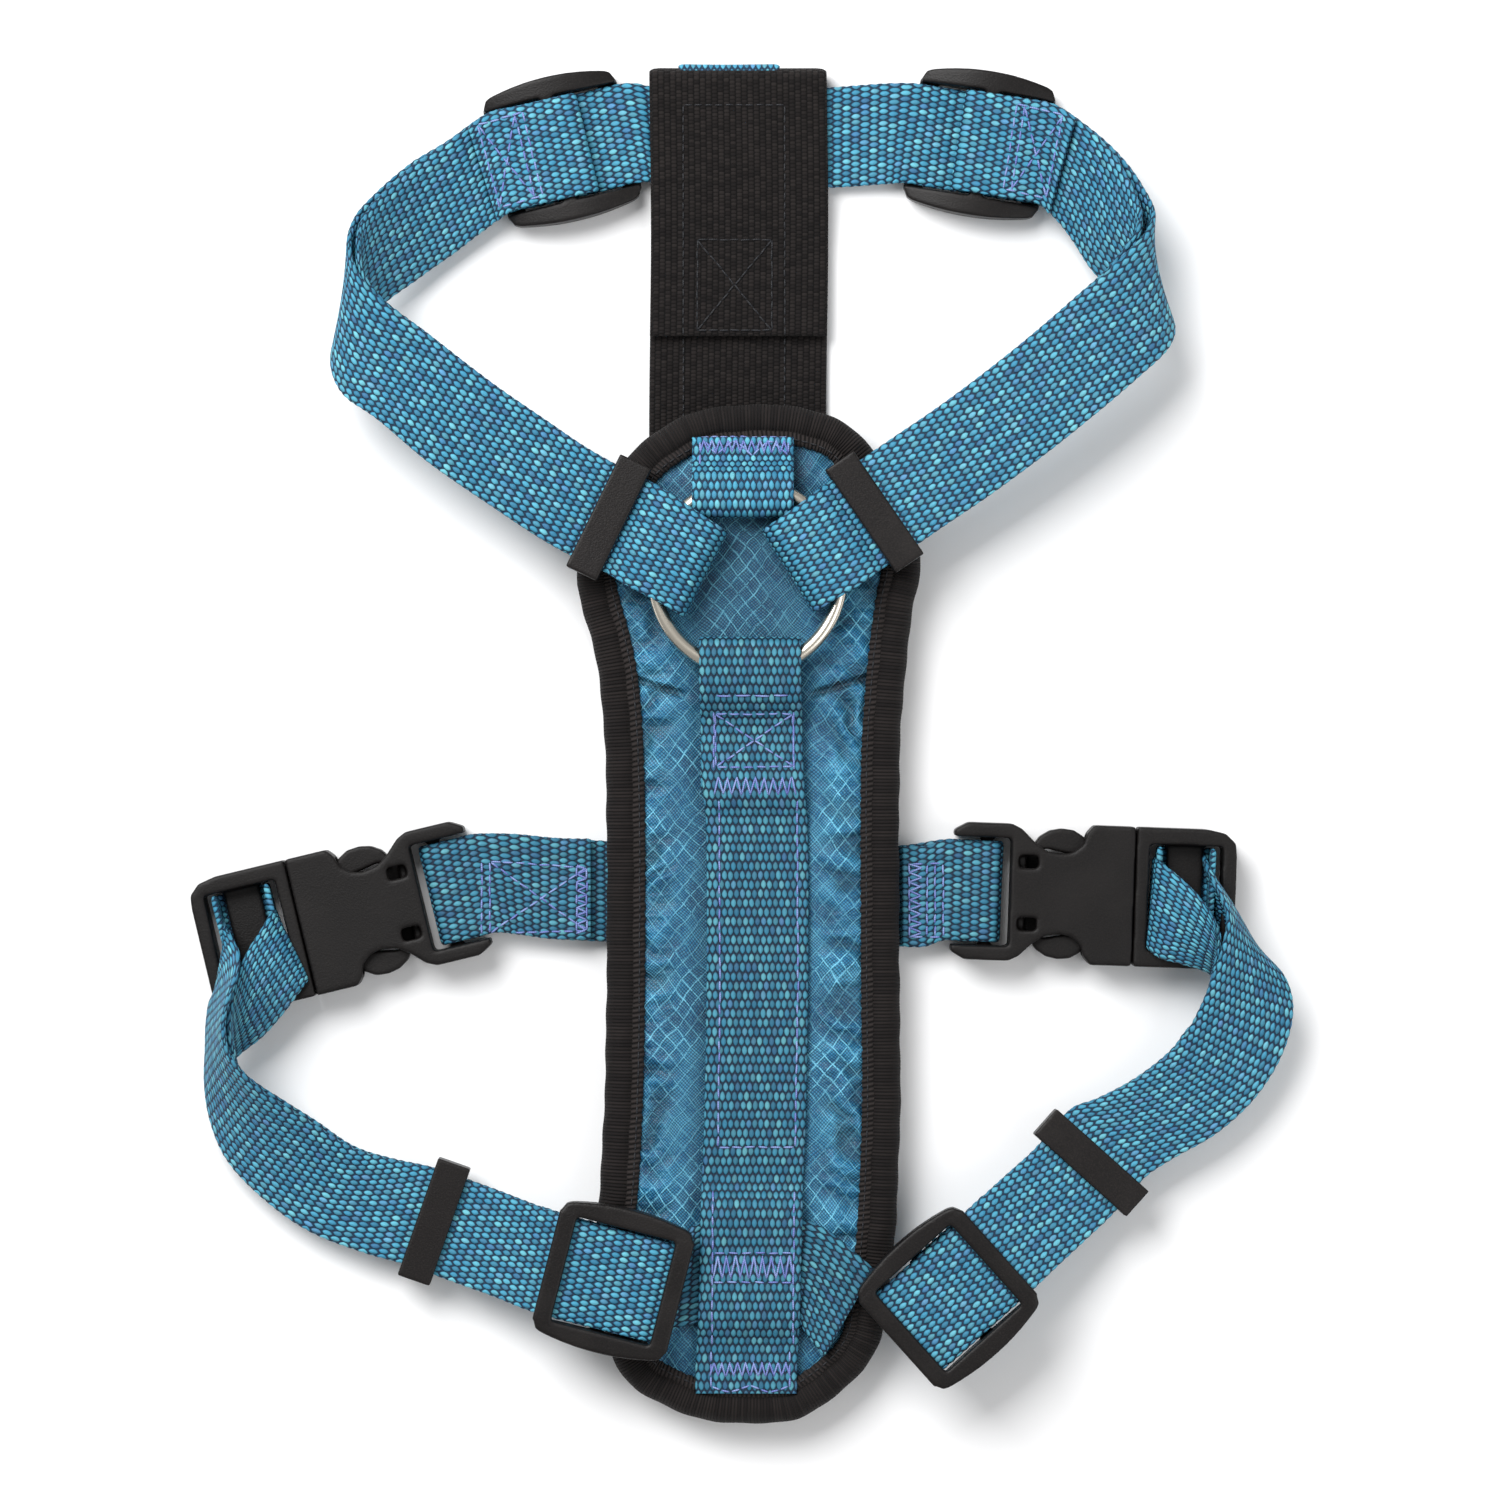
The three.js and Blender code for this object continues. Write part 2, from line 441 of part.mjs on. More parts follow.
// ---- buckles ---------------------------------------------------------------
// local frame: x from the seam towards the housing's webbing bar, y across, z up
const BZ = 6.2;
const bx = (cx, cy, dx, dy) => {
  const x = V(dx, dy, 0).normalize(), z = V(0, 0, 1), y = z.clone().cross(x);
  return { M: place(V(cx, cy, BZ), x, y, z), x, y, c: V(cx, cy, BZ) };
};
const BL = bx(-111.25, -46.00, 0.972, 0.234);
const BR = bx(97.38, -38.25, -0.9993, 0.036);
const H = BUCKLE_W / 2, T = BUCKLE_T / 2;
const mirrorY = (p) => [...p, ...p.slice().reverse().map(([x, y]) => [x, -y])];
function buckle(tag, B) {
  // housing
  const out = mirrorY([[0, H], [10.5, H], [12.2, 15.5], [13.2, 12.4], [15.5, 10.6], [18.6, 10], [22, 10.6], [25, 12.6], [28.5, 16], [31, 17.2], [42, 17.2], [45.5, 15.2]]).reverse();
  let f = solid(prism(out, -T, T));
  f = f.subtract(solid(box(-1, THROAT_D, -15, 15, -3.8, 3.8)));
  f = f.subtract(solid(box(31, 47, -13.6, 13.6, -T - 1, T + 1)));
  f = f.add(solid(box(35.5, 38.4, -14, 14, -1.5, 1.5)));
  for (const sgn of [1, -1]) f = f.subtract(solid(box(24.2, 29, Math.min(sgn * 6.2, sgn * 9.4), Math.max(sgn * 6.2, sgn * 9.4), 2, T + 1)));
  const gf = geom(f); gf.applyMatrix4(B.M); put('buckle_' + tag + '_housing', gf, mat.plastic());
  // male half: webbing frame, bar and guide tongue
  const mo = mirrorY([[-0.3, H], [-18, H], [-22.5, 16.6], [-25.1, 14.2], [-25.5, 11]]);
  let m = solid(prism(mo, -T, T));
  m = m.subtract(solid(box(-21.9, -3.6, -13.3, 13.3, -T - 1, T + 1)));
  m = m.add(solid(box(-17.4, -8.1, -13.8, 13.8, -1.9, -0.1)));
  m = m.add(solid(box(-1, 23.5, -3, 3, -1.8, 1.8)));
  const gm = geom(m); gm.applyMatrix4(B.M); put('buckle_' + tag + '_male', gm, mat.plastic());
  for (const [side, sgn] of [['a', 1], ['b', -1]]) {
    let p = [[0.3, 5.6], [0.3, 9.6], [6, 10.2], [10.5, 11.6], [13, 14.6], [15.5, 16.1], [18.6, 16.4], [21.5, 15.8], [24, 14.2], [25.6, 11.8], [25, 10.4], [22, 11.2], [14, 9.6], [8, 7.4], [3, 6.4]];
    if (sgn > 0) p = p.slice().reverse(); else p = p.map(([x, y]) => [x, -y]);
    const ga = geom(solid(prism(p, -3.2, 3.2))); ga.applyMatrix4(B.M);
    put('buckle_' + tag + '_arm_' + side, ga, mat.plastic());
  }
  // webbing turned under the middle bar of the male half
  const L = (x, z) => V(x, 0, z).applyMatrix4(B.M);
  const fr = [];
  const rT = 1.6;
  fr.push({ c: L(-19.5, 7.2), w: B.y }, { c: L(-19.5, 2), w: B.y });
  for (let i = 0; i <= 4; i++) { const a = Math.PI / 2 * i / 4; fr.push({ c: L(-19.5 + rT - rT * Math.cos(a), -2.9 + rT - rT * Math.sin(a)), w: B.y }); }
  for (let i = 0; i <= 4; i++) { const a = Math.PI / 2 * i / 4; fr.push({ c: L(-6.1 - rT + rT * Math.sin(a), -2.9 + rT - rT * Math.cos(a)), w: B.y }); }
  fr.push({ c: L(-6.1, 2), w: B.y }, { c: L(-6.1, 7.2), w: B.y });
  put('girth_webbing_' + tag + '_turn', ribbonFrom(fr), mat.web());
}
buckle('left', BL);
buckle('right', BR);
// webbing between the two housings, sewn back on itself at each end, through
// the rear sleeve of the chest panel
{
  const P = (B, x, z) => ({ c: V(x, 0, z).applyMatrix4(B.M), w: B.y.clone() });
  const yl = B => B.y.y < 0 ? B.y.clone().negate() : B.y.clone();
  const fr = [];
  const r = 2.6;
  const side = (B, tail) => {
    const w = yl(B);
    const o = [];
    for (const q of tail) o.push({ c: V(q[0], q[1], q[2]), w: V(q[3] || 0, 1, 0).normalize() });
    o.push({ c: V(47, 0, 1.6).applyMatrix4(B.M), w }, { c: V(43, 0, 2.2).applyMatrix4(B.M), w }, { c: V(39, 0, r).applyMatrix4(B.M), w });
    for (let i = 0; i <= 8; i++) { const a = Math.PI * i / 8; o.push({ c: V(36.3 - r * Math.sin(a), 0, r * Math.cos(a)).applyMatrix4(B.M), w }); }
    o.push({ c: V(39, 0, -r).applyMatrix4(B.M), w }, { c: V(43, 0, -2.5).applyMatrix4(B.M), w }, { c: V(47, 0, -2.3).applyMatrix4(B.M), w });
    return o;
  };
  const left = side(BL, [[-38.75, -36.50, 6.0], [-48.75, -36.25, 6.0, 0.02], [-57.50, -35.25, 6.8, -0.08]]);
  const right = side(BR, [[39.50, -38.25, 6.0], [45.00, -38.25, 6.2]]);
  fr.push(...left, { c: V(-57.50, -35.25, 3.8), w: V(-0.08, 1, 0).normalize() }, { c: V(-48.75, -36.25, 3.7), w: V(0.02, 1, 0).normalize() }, { c: V(-36.25, -37.00, 3.6), w: V(0, 1, 0) }, { c: V(-23.75, -37.50, sleeve), w: V(0, 1, 0) },
    { c: V(-1.25, -37.75, sleeve), w: V(0, 1, 0) }, { c: V(22.50, -38.00, sleeve), w: V(0, 1, 0) }, { c: V(38.75, -38.25, 3.6), w: V(0, 1, 0) });
  fr.push(...right.reverse());
  put('chest_girth_webbing', ribbonFrom(fr), mat.web());
}

// ---- girth webbing -----------------------------------------------------------
const GZ = PLATE_TOP + 7.6;      // webbing height at the rear adjusters
const rz = PLATE_TOP + 1.3;
const bt = BZ + T;               // top of the buckles
const rear = strapFrames([
  [-19.25, -123.00, -25.00, -147.50, rz + 1.6, rz + 1.6],
  [-15.25, -121.75, -19.25, -146.50, rz + 0.8, rz + 0.8],
  [-11.25, -119.50, -12.00, -144.50, rz, rz],
  [-6.75, -118.00, -6.25, -143.00, rz, rz],
  [0.00, -117.25, 0.00, -142.50, rz, rz],
  [7.50, -117.25, 7.00, -142.50, rz, rz],
  [13.75, -118.50, 11.00, -143.00, rz, rz],
  [19.75, -121.00, 13.75, -145.25, rz + 0.3, rz + 0.3],
  [26.75, -126.25, 16.75, -149.25, rz + 1.4, rz + 1.4],
  [32.25, -131.00, 19.75, -152.75, rz + 2.2, rz + 2.2],
]);
put('girth_webbing_rear', ribbonFrom(run(rear, 0, rear.total, 30)), mat.web());
const GL = strapFrames([
  [-17.25, -124.43, -23.40, -149.07, GZ - 0.3, GZ - 0.3],
  [-20.25, -123.68, -26.40, -148.32, GZ, GZ],
  [-22.50, -123.12, -28.65, -147.77, GZ, GZ],
  [-29.75, -121.25, -35.90, -145.90, GZ, GZ],
  [-37.00, -119.43, -43.15, -144.07, GZ, GZ],
  [-43.50, -117.80, -49.65, -142.45, GZ - 0.2, GZ - 0.2],
  [-49.25, -116.10, -56.00, -140.50, GZ - 2.6, GZ - 2.6],
  [-55.00, -114.25, -62.25, -138.25, GZ - 6, GZ - 6],
  [-62.00, -111.75, -70.00, -135.75, 12, 12],
  [-69.25, -109.25, -77.75, -133.12, 10, 10],
  [-73.75, -107.68, -82.25, -131.55, 10, 10],
  [-78.25, -106.10, -86.75, -129.98, 10, 10],
  [-86.25, -103.50, -95.25, -127.25, 9.6, 9.6],
  [-98.75, -99.50, -109.75, -122.25, 9.8, 9],
  [-110.00, -94.50, -122.75, -115.25, 12, 8],
  [-119.25, -88.50, -131.00, -106.00, 17, 7],
  [-126.25, -82.50, -135.00, -97.00, 22, 5],
  [-130.75, -76.50, -136.00, -89.00, 26, 7.5],
  [-133.25, -69.00, -136.50, -82.50, 29, 11.5],
  [-134.25, -62.00, -135.75, -76.50, 29.5, 13.8],
  [-134.25, -55.25, -133.75, -72.50, 27.5, 14.2],
  [-134.00, -48.25, -131.50, -69.00, 23.5, 13.9],
  [-133.75, -42.75, -129.25, -66.00, 19.5, 14.3],
  [-133.25, -38.75, -127.25, -63.50, bt + 4.4, bt + 3.4],
]);
const GR = strapFrames([
  [32.25, -137.00, 49.25, -156.00, GZ - 0.3, GZ - 0.3],
  [35.25, -134.38, 52.25, -153.38, GZ, GZ],
  [39.00, -131.00, 56.00, -150.00, GZ, GZ],
  [45.25, -125.40, 62.25, -144.40, GZ, GZ],
  [51.25, -120.00, 68.25, -139.00, GZ, GZ],
  [55.25, -116.45, 72.25, -135.45, GZ - 0.4, GZ - 0.4],
  [60.75, -111.50, 78.00, -130.25, GZ - 3, GZ - 3],
  [66.75, -106.38, 84.75, -124.25, 15, 15],
  [72.50, -101.38, 91.50, -118.12, 13, 13],
  [77.00, -96.38, 96.00, -113.12, 12.5, 12.5],
  [81.50, -91.38, 100.50, -108.12, 12.5, 12.5],
  [87.75, -85.00, 107.25, -101.25, 12.6, 12.4],
  [96.25, -78.00, 116.25, -93.50, 13.5, 12],
  [103.25, -71.00, 124.25, -85.50, 15, 11.5],
  [109.50, -64.00, 131.75, -76.00, 17, 11.5],
  [114.50, -57.00, 136.25, -66.50, 19.5, 12.5],
  [117.75, -50.25, 135.25, -60.25, 22, 14],
  [119.25, -43.50, 129.25, -55.50, 23.8, 14.6],
  [118.75, -37.25, 123.25, -52.75, 22.8, 14.8],
  [117.50, -31.00, 119.25, -51.50, 19.4, 14.8],
  [116.50, -26.50, 117.38, -51.50, bt + 4.4, bt + 3.4],
]);
const cutL = sAt(GL, -111.25, -106.50), cutR = sAt(GR, 115.00, -86.50);
const sTL = sAt(GL, -32.75, -133.50), sTR = sAt(GR, 50.50, -137.75);
const sHL = sAt(GL, -78.00, -119.62), sHR = sAt(GR, 86.50, -104.75);
function girth(tag, surf, inner, sG, cut, end) {
  put('girth_strap_' + tag + '_outer', ribbonFrom(run(surf, 0, cut - 0.35, 38)), mat.web());
  put('girth_strap_' + tag + '_inner', ribbonFrom(run(surf, sG + 11, cut - 0.35, 28, () => inner * PLY)), mat.web());
  // both layers together where they turn up to the buckle
  put('girth_bend_' + tag, ribbonFrom(run(surf, cut + 0.35, end, 22, () => inner * PLY / 2), WEB_W, WEB_T + PLY), mat.web());
}
girth('left', GL, 1, sTL, cutL, sAt(GL, -134.00, -64.75));
girth('right', GR, -1, sTR, cutR, sAt(GR, 124.50, -49.00));
glide('girth_adjuster_left', GL, sTL, -1, 1);
glide('girth_adjuster_right', GR, sTR, 1, 1);
keeper('girth_keeper_left', GL, sHL, -1);
keeper('girth_keeper_right', GR, sHR, 1);

for (const m of group.children) m.geometry.translate(SHIFT_X, SHIFT_Y, SHIFT_Z);

export default group;
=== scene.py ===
import bpy, bmesh, math, random
import numpy as np
from mathutils import Vector, Matrix
from mathutils.bvhtree import BVHTree


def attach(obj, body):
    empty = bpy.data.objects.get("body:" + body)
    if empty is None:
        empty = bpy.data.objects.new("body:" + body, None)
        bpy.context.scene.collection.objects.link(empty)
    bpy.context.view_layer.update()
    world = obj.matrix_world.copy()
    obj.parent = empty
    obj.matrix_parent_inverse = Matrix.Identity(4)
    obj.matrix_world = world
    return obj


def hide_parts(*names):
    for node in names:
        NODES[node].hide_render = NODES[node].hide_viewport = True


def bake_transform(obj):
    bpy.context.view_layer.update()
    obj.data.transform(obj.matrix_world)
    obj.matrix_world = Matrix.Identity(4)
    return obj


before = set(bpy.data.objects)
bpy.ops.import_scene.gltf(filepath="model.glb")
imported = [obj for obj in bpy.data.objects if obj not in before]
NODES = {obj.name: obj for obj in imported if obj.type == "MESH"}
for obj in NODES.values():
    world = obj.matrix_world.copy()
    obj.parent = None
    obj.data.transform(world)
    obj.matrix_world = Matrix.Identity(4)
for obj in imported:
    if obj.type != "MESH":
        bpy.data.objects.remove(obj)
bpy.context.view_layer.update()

rng = random.Random(7)

# ---- driving dimensions, mm ------------------------------------------------
WEB_W, WEB_T, PLY = 25.4, 1.4, 1.75
PLATE_Z0, PLATE_TOP = 7.19, 13.29
ZO = -0.01                      # height shift of the frame
NZ, SLEEVE, KZ = 4.4, 3.45, 20.3
ZR_TOP, ZR_LOW = 23.3, 14.3
BZ, BT = 6.19, 5.7

# ---- materials ---------------------------------------------------------------
def lin(r, g, b):
    f = lambda c: (c / 255 / 12.92) if c / 255 <= 0.04045 else ((c / 255 + 0.055) / 1.055) ** 2.4
    return (f(r), f(g), f(b), 1.0)


class G:
    def __init__(s, name):
        s.m = bpy.data.materials.new(name)
        s.m.use_nodes = True
        s.nt = s.m.node_tree
        s.nt.nodes.clear()
        s.out = s.nt.nodes.new("ShaderNodeOutputMaterial")
        s.b = s.nt.nodes.new("ShaderNodeBsdfPrincipled")
        s.nt.links.new(s.b.outputs[0], s.out.inputs[0])

    def put(s, sock, v):
        if hasattr(v, "default_value") or hasattr(v, "is_output"):
            s.nt.links.new(v, sock)
        else:
            sock.default_value = v

    def math(s, op, a, b=0.0, c=0.0, clamp=False):
        n = s.nt.nodes.new("ShaderNodeMath")
        n.operation = op
        n.use_clamp = clamp
        for i, v in enumerate((a, b, c)):
            s.put(n.inputs[i], v)
        return n.outputs[0]

    def add(s, a, b): return s.math("ADD", a, b)
    def sub(s, a, b): return s.math("SUBTRACT", a, b)
    def mul(s, a, b): return s.math("MULTIPLY", a, b)
    def div(s, a, b): return s.math("DIVIDE", a, b)
    def floor(s, a): return s.math("FLOOR", a)
    def fract(s, a): return s.math("FRACT", a)

    def step(s, a, lo, hi):
        n = s.nt.nodes.new("ShaderNodeMapRange")
        n.interpolation_type = "SMOOTHSTEP"
        s.put(n.inputs["Value"], a)
        n.inputs["From Min"].default_value = lo
        n.inputs["From Max"].default_value = hi
        return n.outputs["Result"]

    def uv(s, k=100.0):
        n = s.nt.nodes.new("ShaderNodeUVMap")
        n.uv_map = "UVMap"
        x = s.nt.nodes.new("ShaderNodeSeparateXYZ")
        s.nt.links.new(n.outputs[0], x.inputs[0])
        return s.mul(x.outputs[0], k), s.mul(x.outputs[1], k)

    def obj(s):
        n = s.nt.nodes.new("ShaderNodeTexCoord")
        return n.outputs["Object"]

    def vec(s, x, y, z=0.0):
        n = s.nt.nodes.new("ShaderNodeCombineXYZ")
        s.put(n.inputs[0], x); s.put(n.inputs[1], y); s.put(n.inputs[2], z)
        return n.outputs[0]

    def noise(s, v, scale, detail=2.0, rough=0.5, dist=0.0):
        n = s.nt.nodes.new("ShaderNodeTexNoise")
        s.nt.links.new(v, n.inputs["Vector"])
        n.inputs["Scale"].default_value = scale
        n.inputs["Detail"].default_value = detail
        n.inputs["Roughness"].default_value = rough
        n.inputs["Distortion"].default_value = dist
        return n.outputs["Fac"]

    def white(s, v):
        n = s.nt.nodes.new("ShaderNodeTexWhiteNoise")
        n.noise_dimensions = "3D"
        s.nt.links.new(v, n.inputs["Vector"])
        return n.outputs["Value"]

    def voronoi(s, v, scale, feature="F1"):
        n = s.nt.nodes.new("ShaderNodeTexVoronoi")
        n.feature = feature
        s.nt.links.new(v, n.inputs["Vector"])
        n.inputs["Scale"].default_value = scale
        return n.outputs["Distance"]

    def mix(s, f, a, b, mode="MIX"):
        n = s.nt.nodes.new("ShaderNodeMix")
        n.data_type = "RGBA"
        n.blend_type = mode
        s.put(n.inputs[0], f)
        s.put(n.inputs[6], a); s.put(n.inputs[7], b)
        return n.outputs[2]

    def ramp(s, f, stops):
        n = s.nt.nodes.new("ShaderNodeValToRGB")
        s.nt.links.new(f, n.inputs[0])
        e = n.color_ramp.elements
        while len(e) < len(stops):
            e.new(0.5)
        for k, (p, c) in zip(e, stops):
            k.position = p
            k.color = c
        return n.outputs[0]

    def bump(s, h, dist, strength=1.0, prev=None):
        n = s.nt.nodes.new("ShaderNodeBump")
        n.inputs["Strength"].default_value = strength
        n.inputs["Distance"].default_value = dist
        s.nt.links.new(h, n.inputs["Height"])
        if prev is not None:
            s.nt.links.new(prev, n.inputs["Normal"])
        return n.outputs[0]

    def finish(s, color, rough, normal=None, metallic=0.0, spec=0.5, sheen=0.0):
        s.put(s.b.inputs["Base Color"], color)
        s.put(s.b.inputs["Roughness"], rough)
        s.b.inputs["Metallic"].default_value = metallic
        s.b.inputs["Specular IOR Level"].default_value = spec
        if sheen:
            s.b.inputs["Sheen Weight"].default_value = sheen
            s.b.inputs["Sheen Roughness"].default_value = 0.5
        if normal is not None:
            s.nt.links.new(normal, s.b.inputs["Normal"])
        return s.m


def mat_web(name="webbing_weave", bright=1.0):
    g = G(name)
    U, V = g.uv()
    a, c = 2.3, 1.5
    warp = g.mul(g.sub(g.noise(g.vec(U, V), 0.35, 1.0), 0.5), 0.7)
    Uw = g.add(U, warp)
    cu = g.div(Uw, a)
    col = g.floor(cu)
    par = g.mul(g.fract(g.mul(col, 0.5)), 1.0)       # 0 or 0.5
    vv = g.add(g.div(V, c), par)
    row = g.floor(vv)
    fu = g.sub(g.fract(cu), 0.5)
    fv = g.sub(g.fract(vv), 0.5)
    fvn = g.div(fv, g.sub(0.52, g.mul(g.mul(fu, fu), 0.8)))
    r2 = g.add(g.math("POWER", g.math("ABSOLUTE", g.div(fu, 0.56)), 2.4), g.math("POWER", g.math("ABSOLUTE", fvn), 2.0))
    h = g.math("SQRT", g.math("MAXIMUM", g.sub(1.0, r2), 0.0))
    w = g.white(g.vec(col, row, 1.7))
    w2 = g.white(g.vec(col, row, 9.1))
    pick = g.ramp(w, [(0.0, lin(56, 140, 174)), (0.4, lin(72, 158, 188)), (0.8, lin(90, 176, 200)), (0.96, lin(112, 194, 208)), (1.0, lin(84, 144, 192))])
    tint = g.mix(g.mul(g.step(w2, 0.84, 0.98), 0.4), pick, lin(78, 92, 160))
    tone = g.noise(g.vec(U, V), 0.16, 3.0)
    tint = g.mix(g.mul(g.step(tone, 0.42, 0.75), 0.45), tint, lin(52, 128, 168))
    # painted shade: every third pick of a column is drawn darker, as if lying in the shade of its neighbours
    third = g.fract(g.div(g.add(g.add(row, 0.5), g.mul(par, 3.0)), 3.0))
    tint = g.mix(g.mul(g.step(third, 0.60, 0.68), 0.42), tint, lin(24, 78, 112))
    # painted shade: every third pick of a column lies lower, and its brightness is drawn to dip there; painted
    # highlight: each pick is drawn lighter towards one end
    tri = g.math("COSINE", g.add(g.mul(V, 2 * math.pi / (3 * c)), g.mul(par, 2 * math.pi)))
    painted_pick_light = g.add(g.add(1.0, g.mul(tri, 0.06)), g.mul(fu, 0.34))
    tint = g.mix(1.0, tint, g.vec(painted_pick_light, painted_pick_light, painted_pick_light), "MULTIPLY")
    # dark gaps between the picks: partly the yarn's dye, partly painted shade in the hollows
    gap = g.mix(g.step(h, 0.30, 0.86), lin(6, 40, 68), tint)
    fibre = g.noise(g.vec(g.mul(U, 0.9), g.mul(V, 7.0)), 1.3, 2.0, 0.6)
    colr = g.mix(g.mul(g.sub(fibre, 0.35), 0.32), gap, lin(16, 70, 104))
    if bright != 1.0:
        colr = g.mix(1.0, colr, (bright, bright, bright, 1), "MULTIPLY")
    hh = g.add(h, g.mul(fibre, 0.16))
    n = g.bump(hh, 0.0007, 1.0)
    return g.finish(colr, g.add(0.52, g.mul(fibre, 0.2)), n, spec=0.4, sheen=0.0)


def mat_rip():
    g = G("ripstop_weave")
    X, Y = g.uv()
    wx = g.mul(g.sub(g.noise(g.vec(X, Y, 3.0), 0.09, 2.0), 0.5), 3.2)
    wy = g.mul(g.sub(g.noise(g.vec(X, Y, 8.0), 0.08, 2.0), 0.5), 3.2)
    x, y = g.add(X, wx), g.add(Y, wy)
    # fine basket weave
    p = 0.62
    cu, cv = g.div(g.add(x, y), p * 1.41), g.div(g.sub(x, y), p * 1.41)
    f1, f2 = g.sub(g.fract(cu), 0.5), g.sub(g.fract(cv), 0.5)
    dot = g.math("SQRT", g.math("MAXIMUM", g.sub(1.0, g.add(g.mul(g.mul(f1, f1), 4.2), g.mul(g.mul(f2, f2), 4.2))), 0.0))
    # large light and dark blotches: partly random tone of the cloth, partly painted highlight and painted shade of the
    # crinkled face
    big = g.noise(g.vec(X, Y, 1.0), 0.11, 3.0)
    base = g.ramp(big, [(0.3, lin(10, 78, 120)), (0.5, lin(28, 112, 156)), (0.72, lin(74, 156, 194))])
    ax = g.math("ABSOLUTE", g.sub(X, 2.5))
    side = g.step(ax, 15.0, 25.0)
    wn = g.noise(g.vec(X, Y, 12.0), 0.055, 2.0)
    rip1 = g.math("SINE", g.add(g.mul(Y, 0.62), g.add(g.mul(ax, 0.30), g.mul(wn, 22.0))))
    rip2 = g.mul(g.sub(g.noise(g.vec(g.mul(X, 0.4), Y, 4.0), 0.13, 3.0), 0.5), 3.2)
    wrk = g.mul(side, g.add(g.mul(rip1, 0.45), rip2))
    fd = g.math("ABSOLUTE", g.sub(g.sub(Y, 14.5), g.mul(g.sub(ax, 22.0), 0.30)))
    crease = g.mul(g.sub(1.0, g.step(fd, 0.2, 1.5)), g.step(ax, 14.0, 19.0))
    # painted shade and painted highlight: the wrinkles are drawn darker in their troughs and lighter on their crests,
    # the crease darker, and the strip along the spine strap darker
    shade = g.add(g.mul(g.step(wrk, -0.9, 0.8), 0.74), 0.42)
    shade = g.mul(shade, g.sub(1.0, g.mul(g.sub(1.0, g.step(ax, 11.0, 17.0)), 0.30)))
    shade = g.mul(shade, g.sub(1.0, g.mul(crease, 0.62)))
    w = g.white(g.vec(g.floor(cu), g.floor(cv), 2.0))
    base = g.mix(g.mul(w, 0.35), base, lin(92, 166, 190))
    base = g.mix(g.step(dot, 0.2, 0.85), g.mix(0.72, base, lin(6, 36, 64)), base)
    # diamond grid of heavier yarns
    a = g.add(g.div(x, 3.9), g.div(y, 4.7))
    b = g.sub(g.div(x, 3.9), g.div(y, 4.7))
    line = None
    for q in (a, b):
        d = g.math("ABSOLUTE", g.sub(g.fract(q), 0.5))
        l = g.step(d, 0.415, 0.465)
        line = l if line is None else g.math("MAXIMUM", line, l)
    brk = g.noise(g.vec(X, Y, 5.0), 1.6, 1.0)
    lf = g.mul(line, g.step(brk, 0.28, 0.5))
    # painted highlight: the heavier yarns of the grid are drawn lighter, most where this noise marks them as catching
    # the light
    painted_glint_mask = g.step(g.noise(g.vec(X, Y, 21.0), 0.07, 2.0), 0.42, 0.66)
    colr = g.mix(g.mul(lf, g.add(0.36, g.mul(painted_glint_mask, 0.6))), base, lin(118, 200, 230))
    colr = g.mix(1.0, colr, g.vec(shade, shade, shade), "MULTIPLY")
    hh = g.add(g.mul(dot, 0.4), g.mul(line, 0.8))
    n = g.bump(g.sub(wrk, g.mul(crease, 1.2)), 0.0017, 0.85)
    n = g.bump(hh, 0.00028, 0.8, n)
    return g.finish(colr, 0.46, n, spec=0.4, sheen=0.0)


def mat_knit(name="knit_black", pu=0.85, pv=0.95, depth=0.00045):
    g = G(name)
    V, U = g.uv()
    cu = g.div(U, pu)
    col = g.floor(cu)
    fu = g.sub(g.fract(cu), 0.5)
    vv = g.add(g.div(V, pv), g.mul(g.fract(g.mul(col, 0.5)), 1.0))
    fv = g.sub(g.fract(vv), 0.5)
    rib = g.math("SQRT", g.math("MAXIMUM", g.sub(1.0, g.mul(g.mul(fu, fu), 4.0)), 0.0))
    lp = g.math("SQRT", g.math("MAXIMUM", g.sub(1.0, g.mul(g.mul(fv, fv), 3.2)), 0.0))
    h = g.mul(rib, lp)
    nz = g.noise(g.vec(U, V, 2.0), 0.25, 3.0)
    w = g.white(g.vec(col, g.floor(vv), 4.0))
    c0 = g.mix(g.step(h, 0.15, 0.8), lin(5, 4, 4), g.mix(w, lin(20, 17, 17), lin(36, 32, 31)))
    c0 = g.mix(g.mul(g.step(nz, 0.5, 0.8), 0.3), c0, lin(14, 12, 12))
    n = g.bump(h, depth, 0.9)
    return g.finish(c0, 0.82, n, spec=0.14, sheen=0.05)


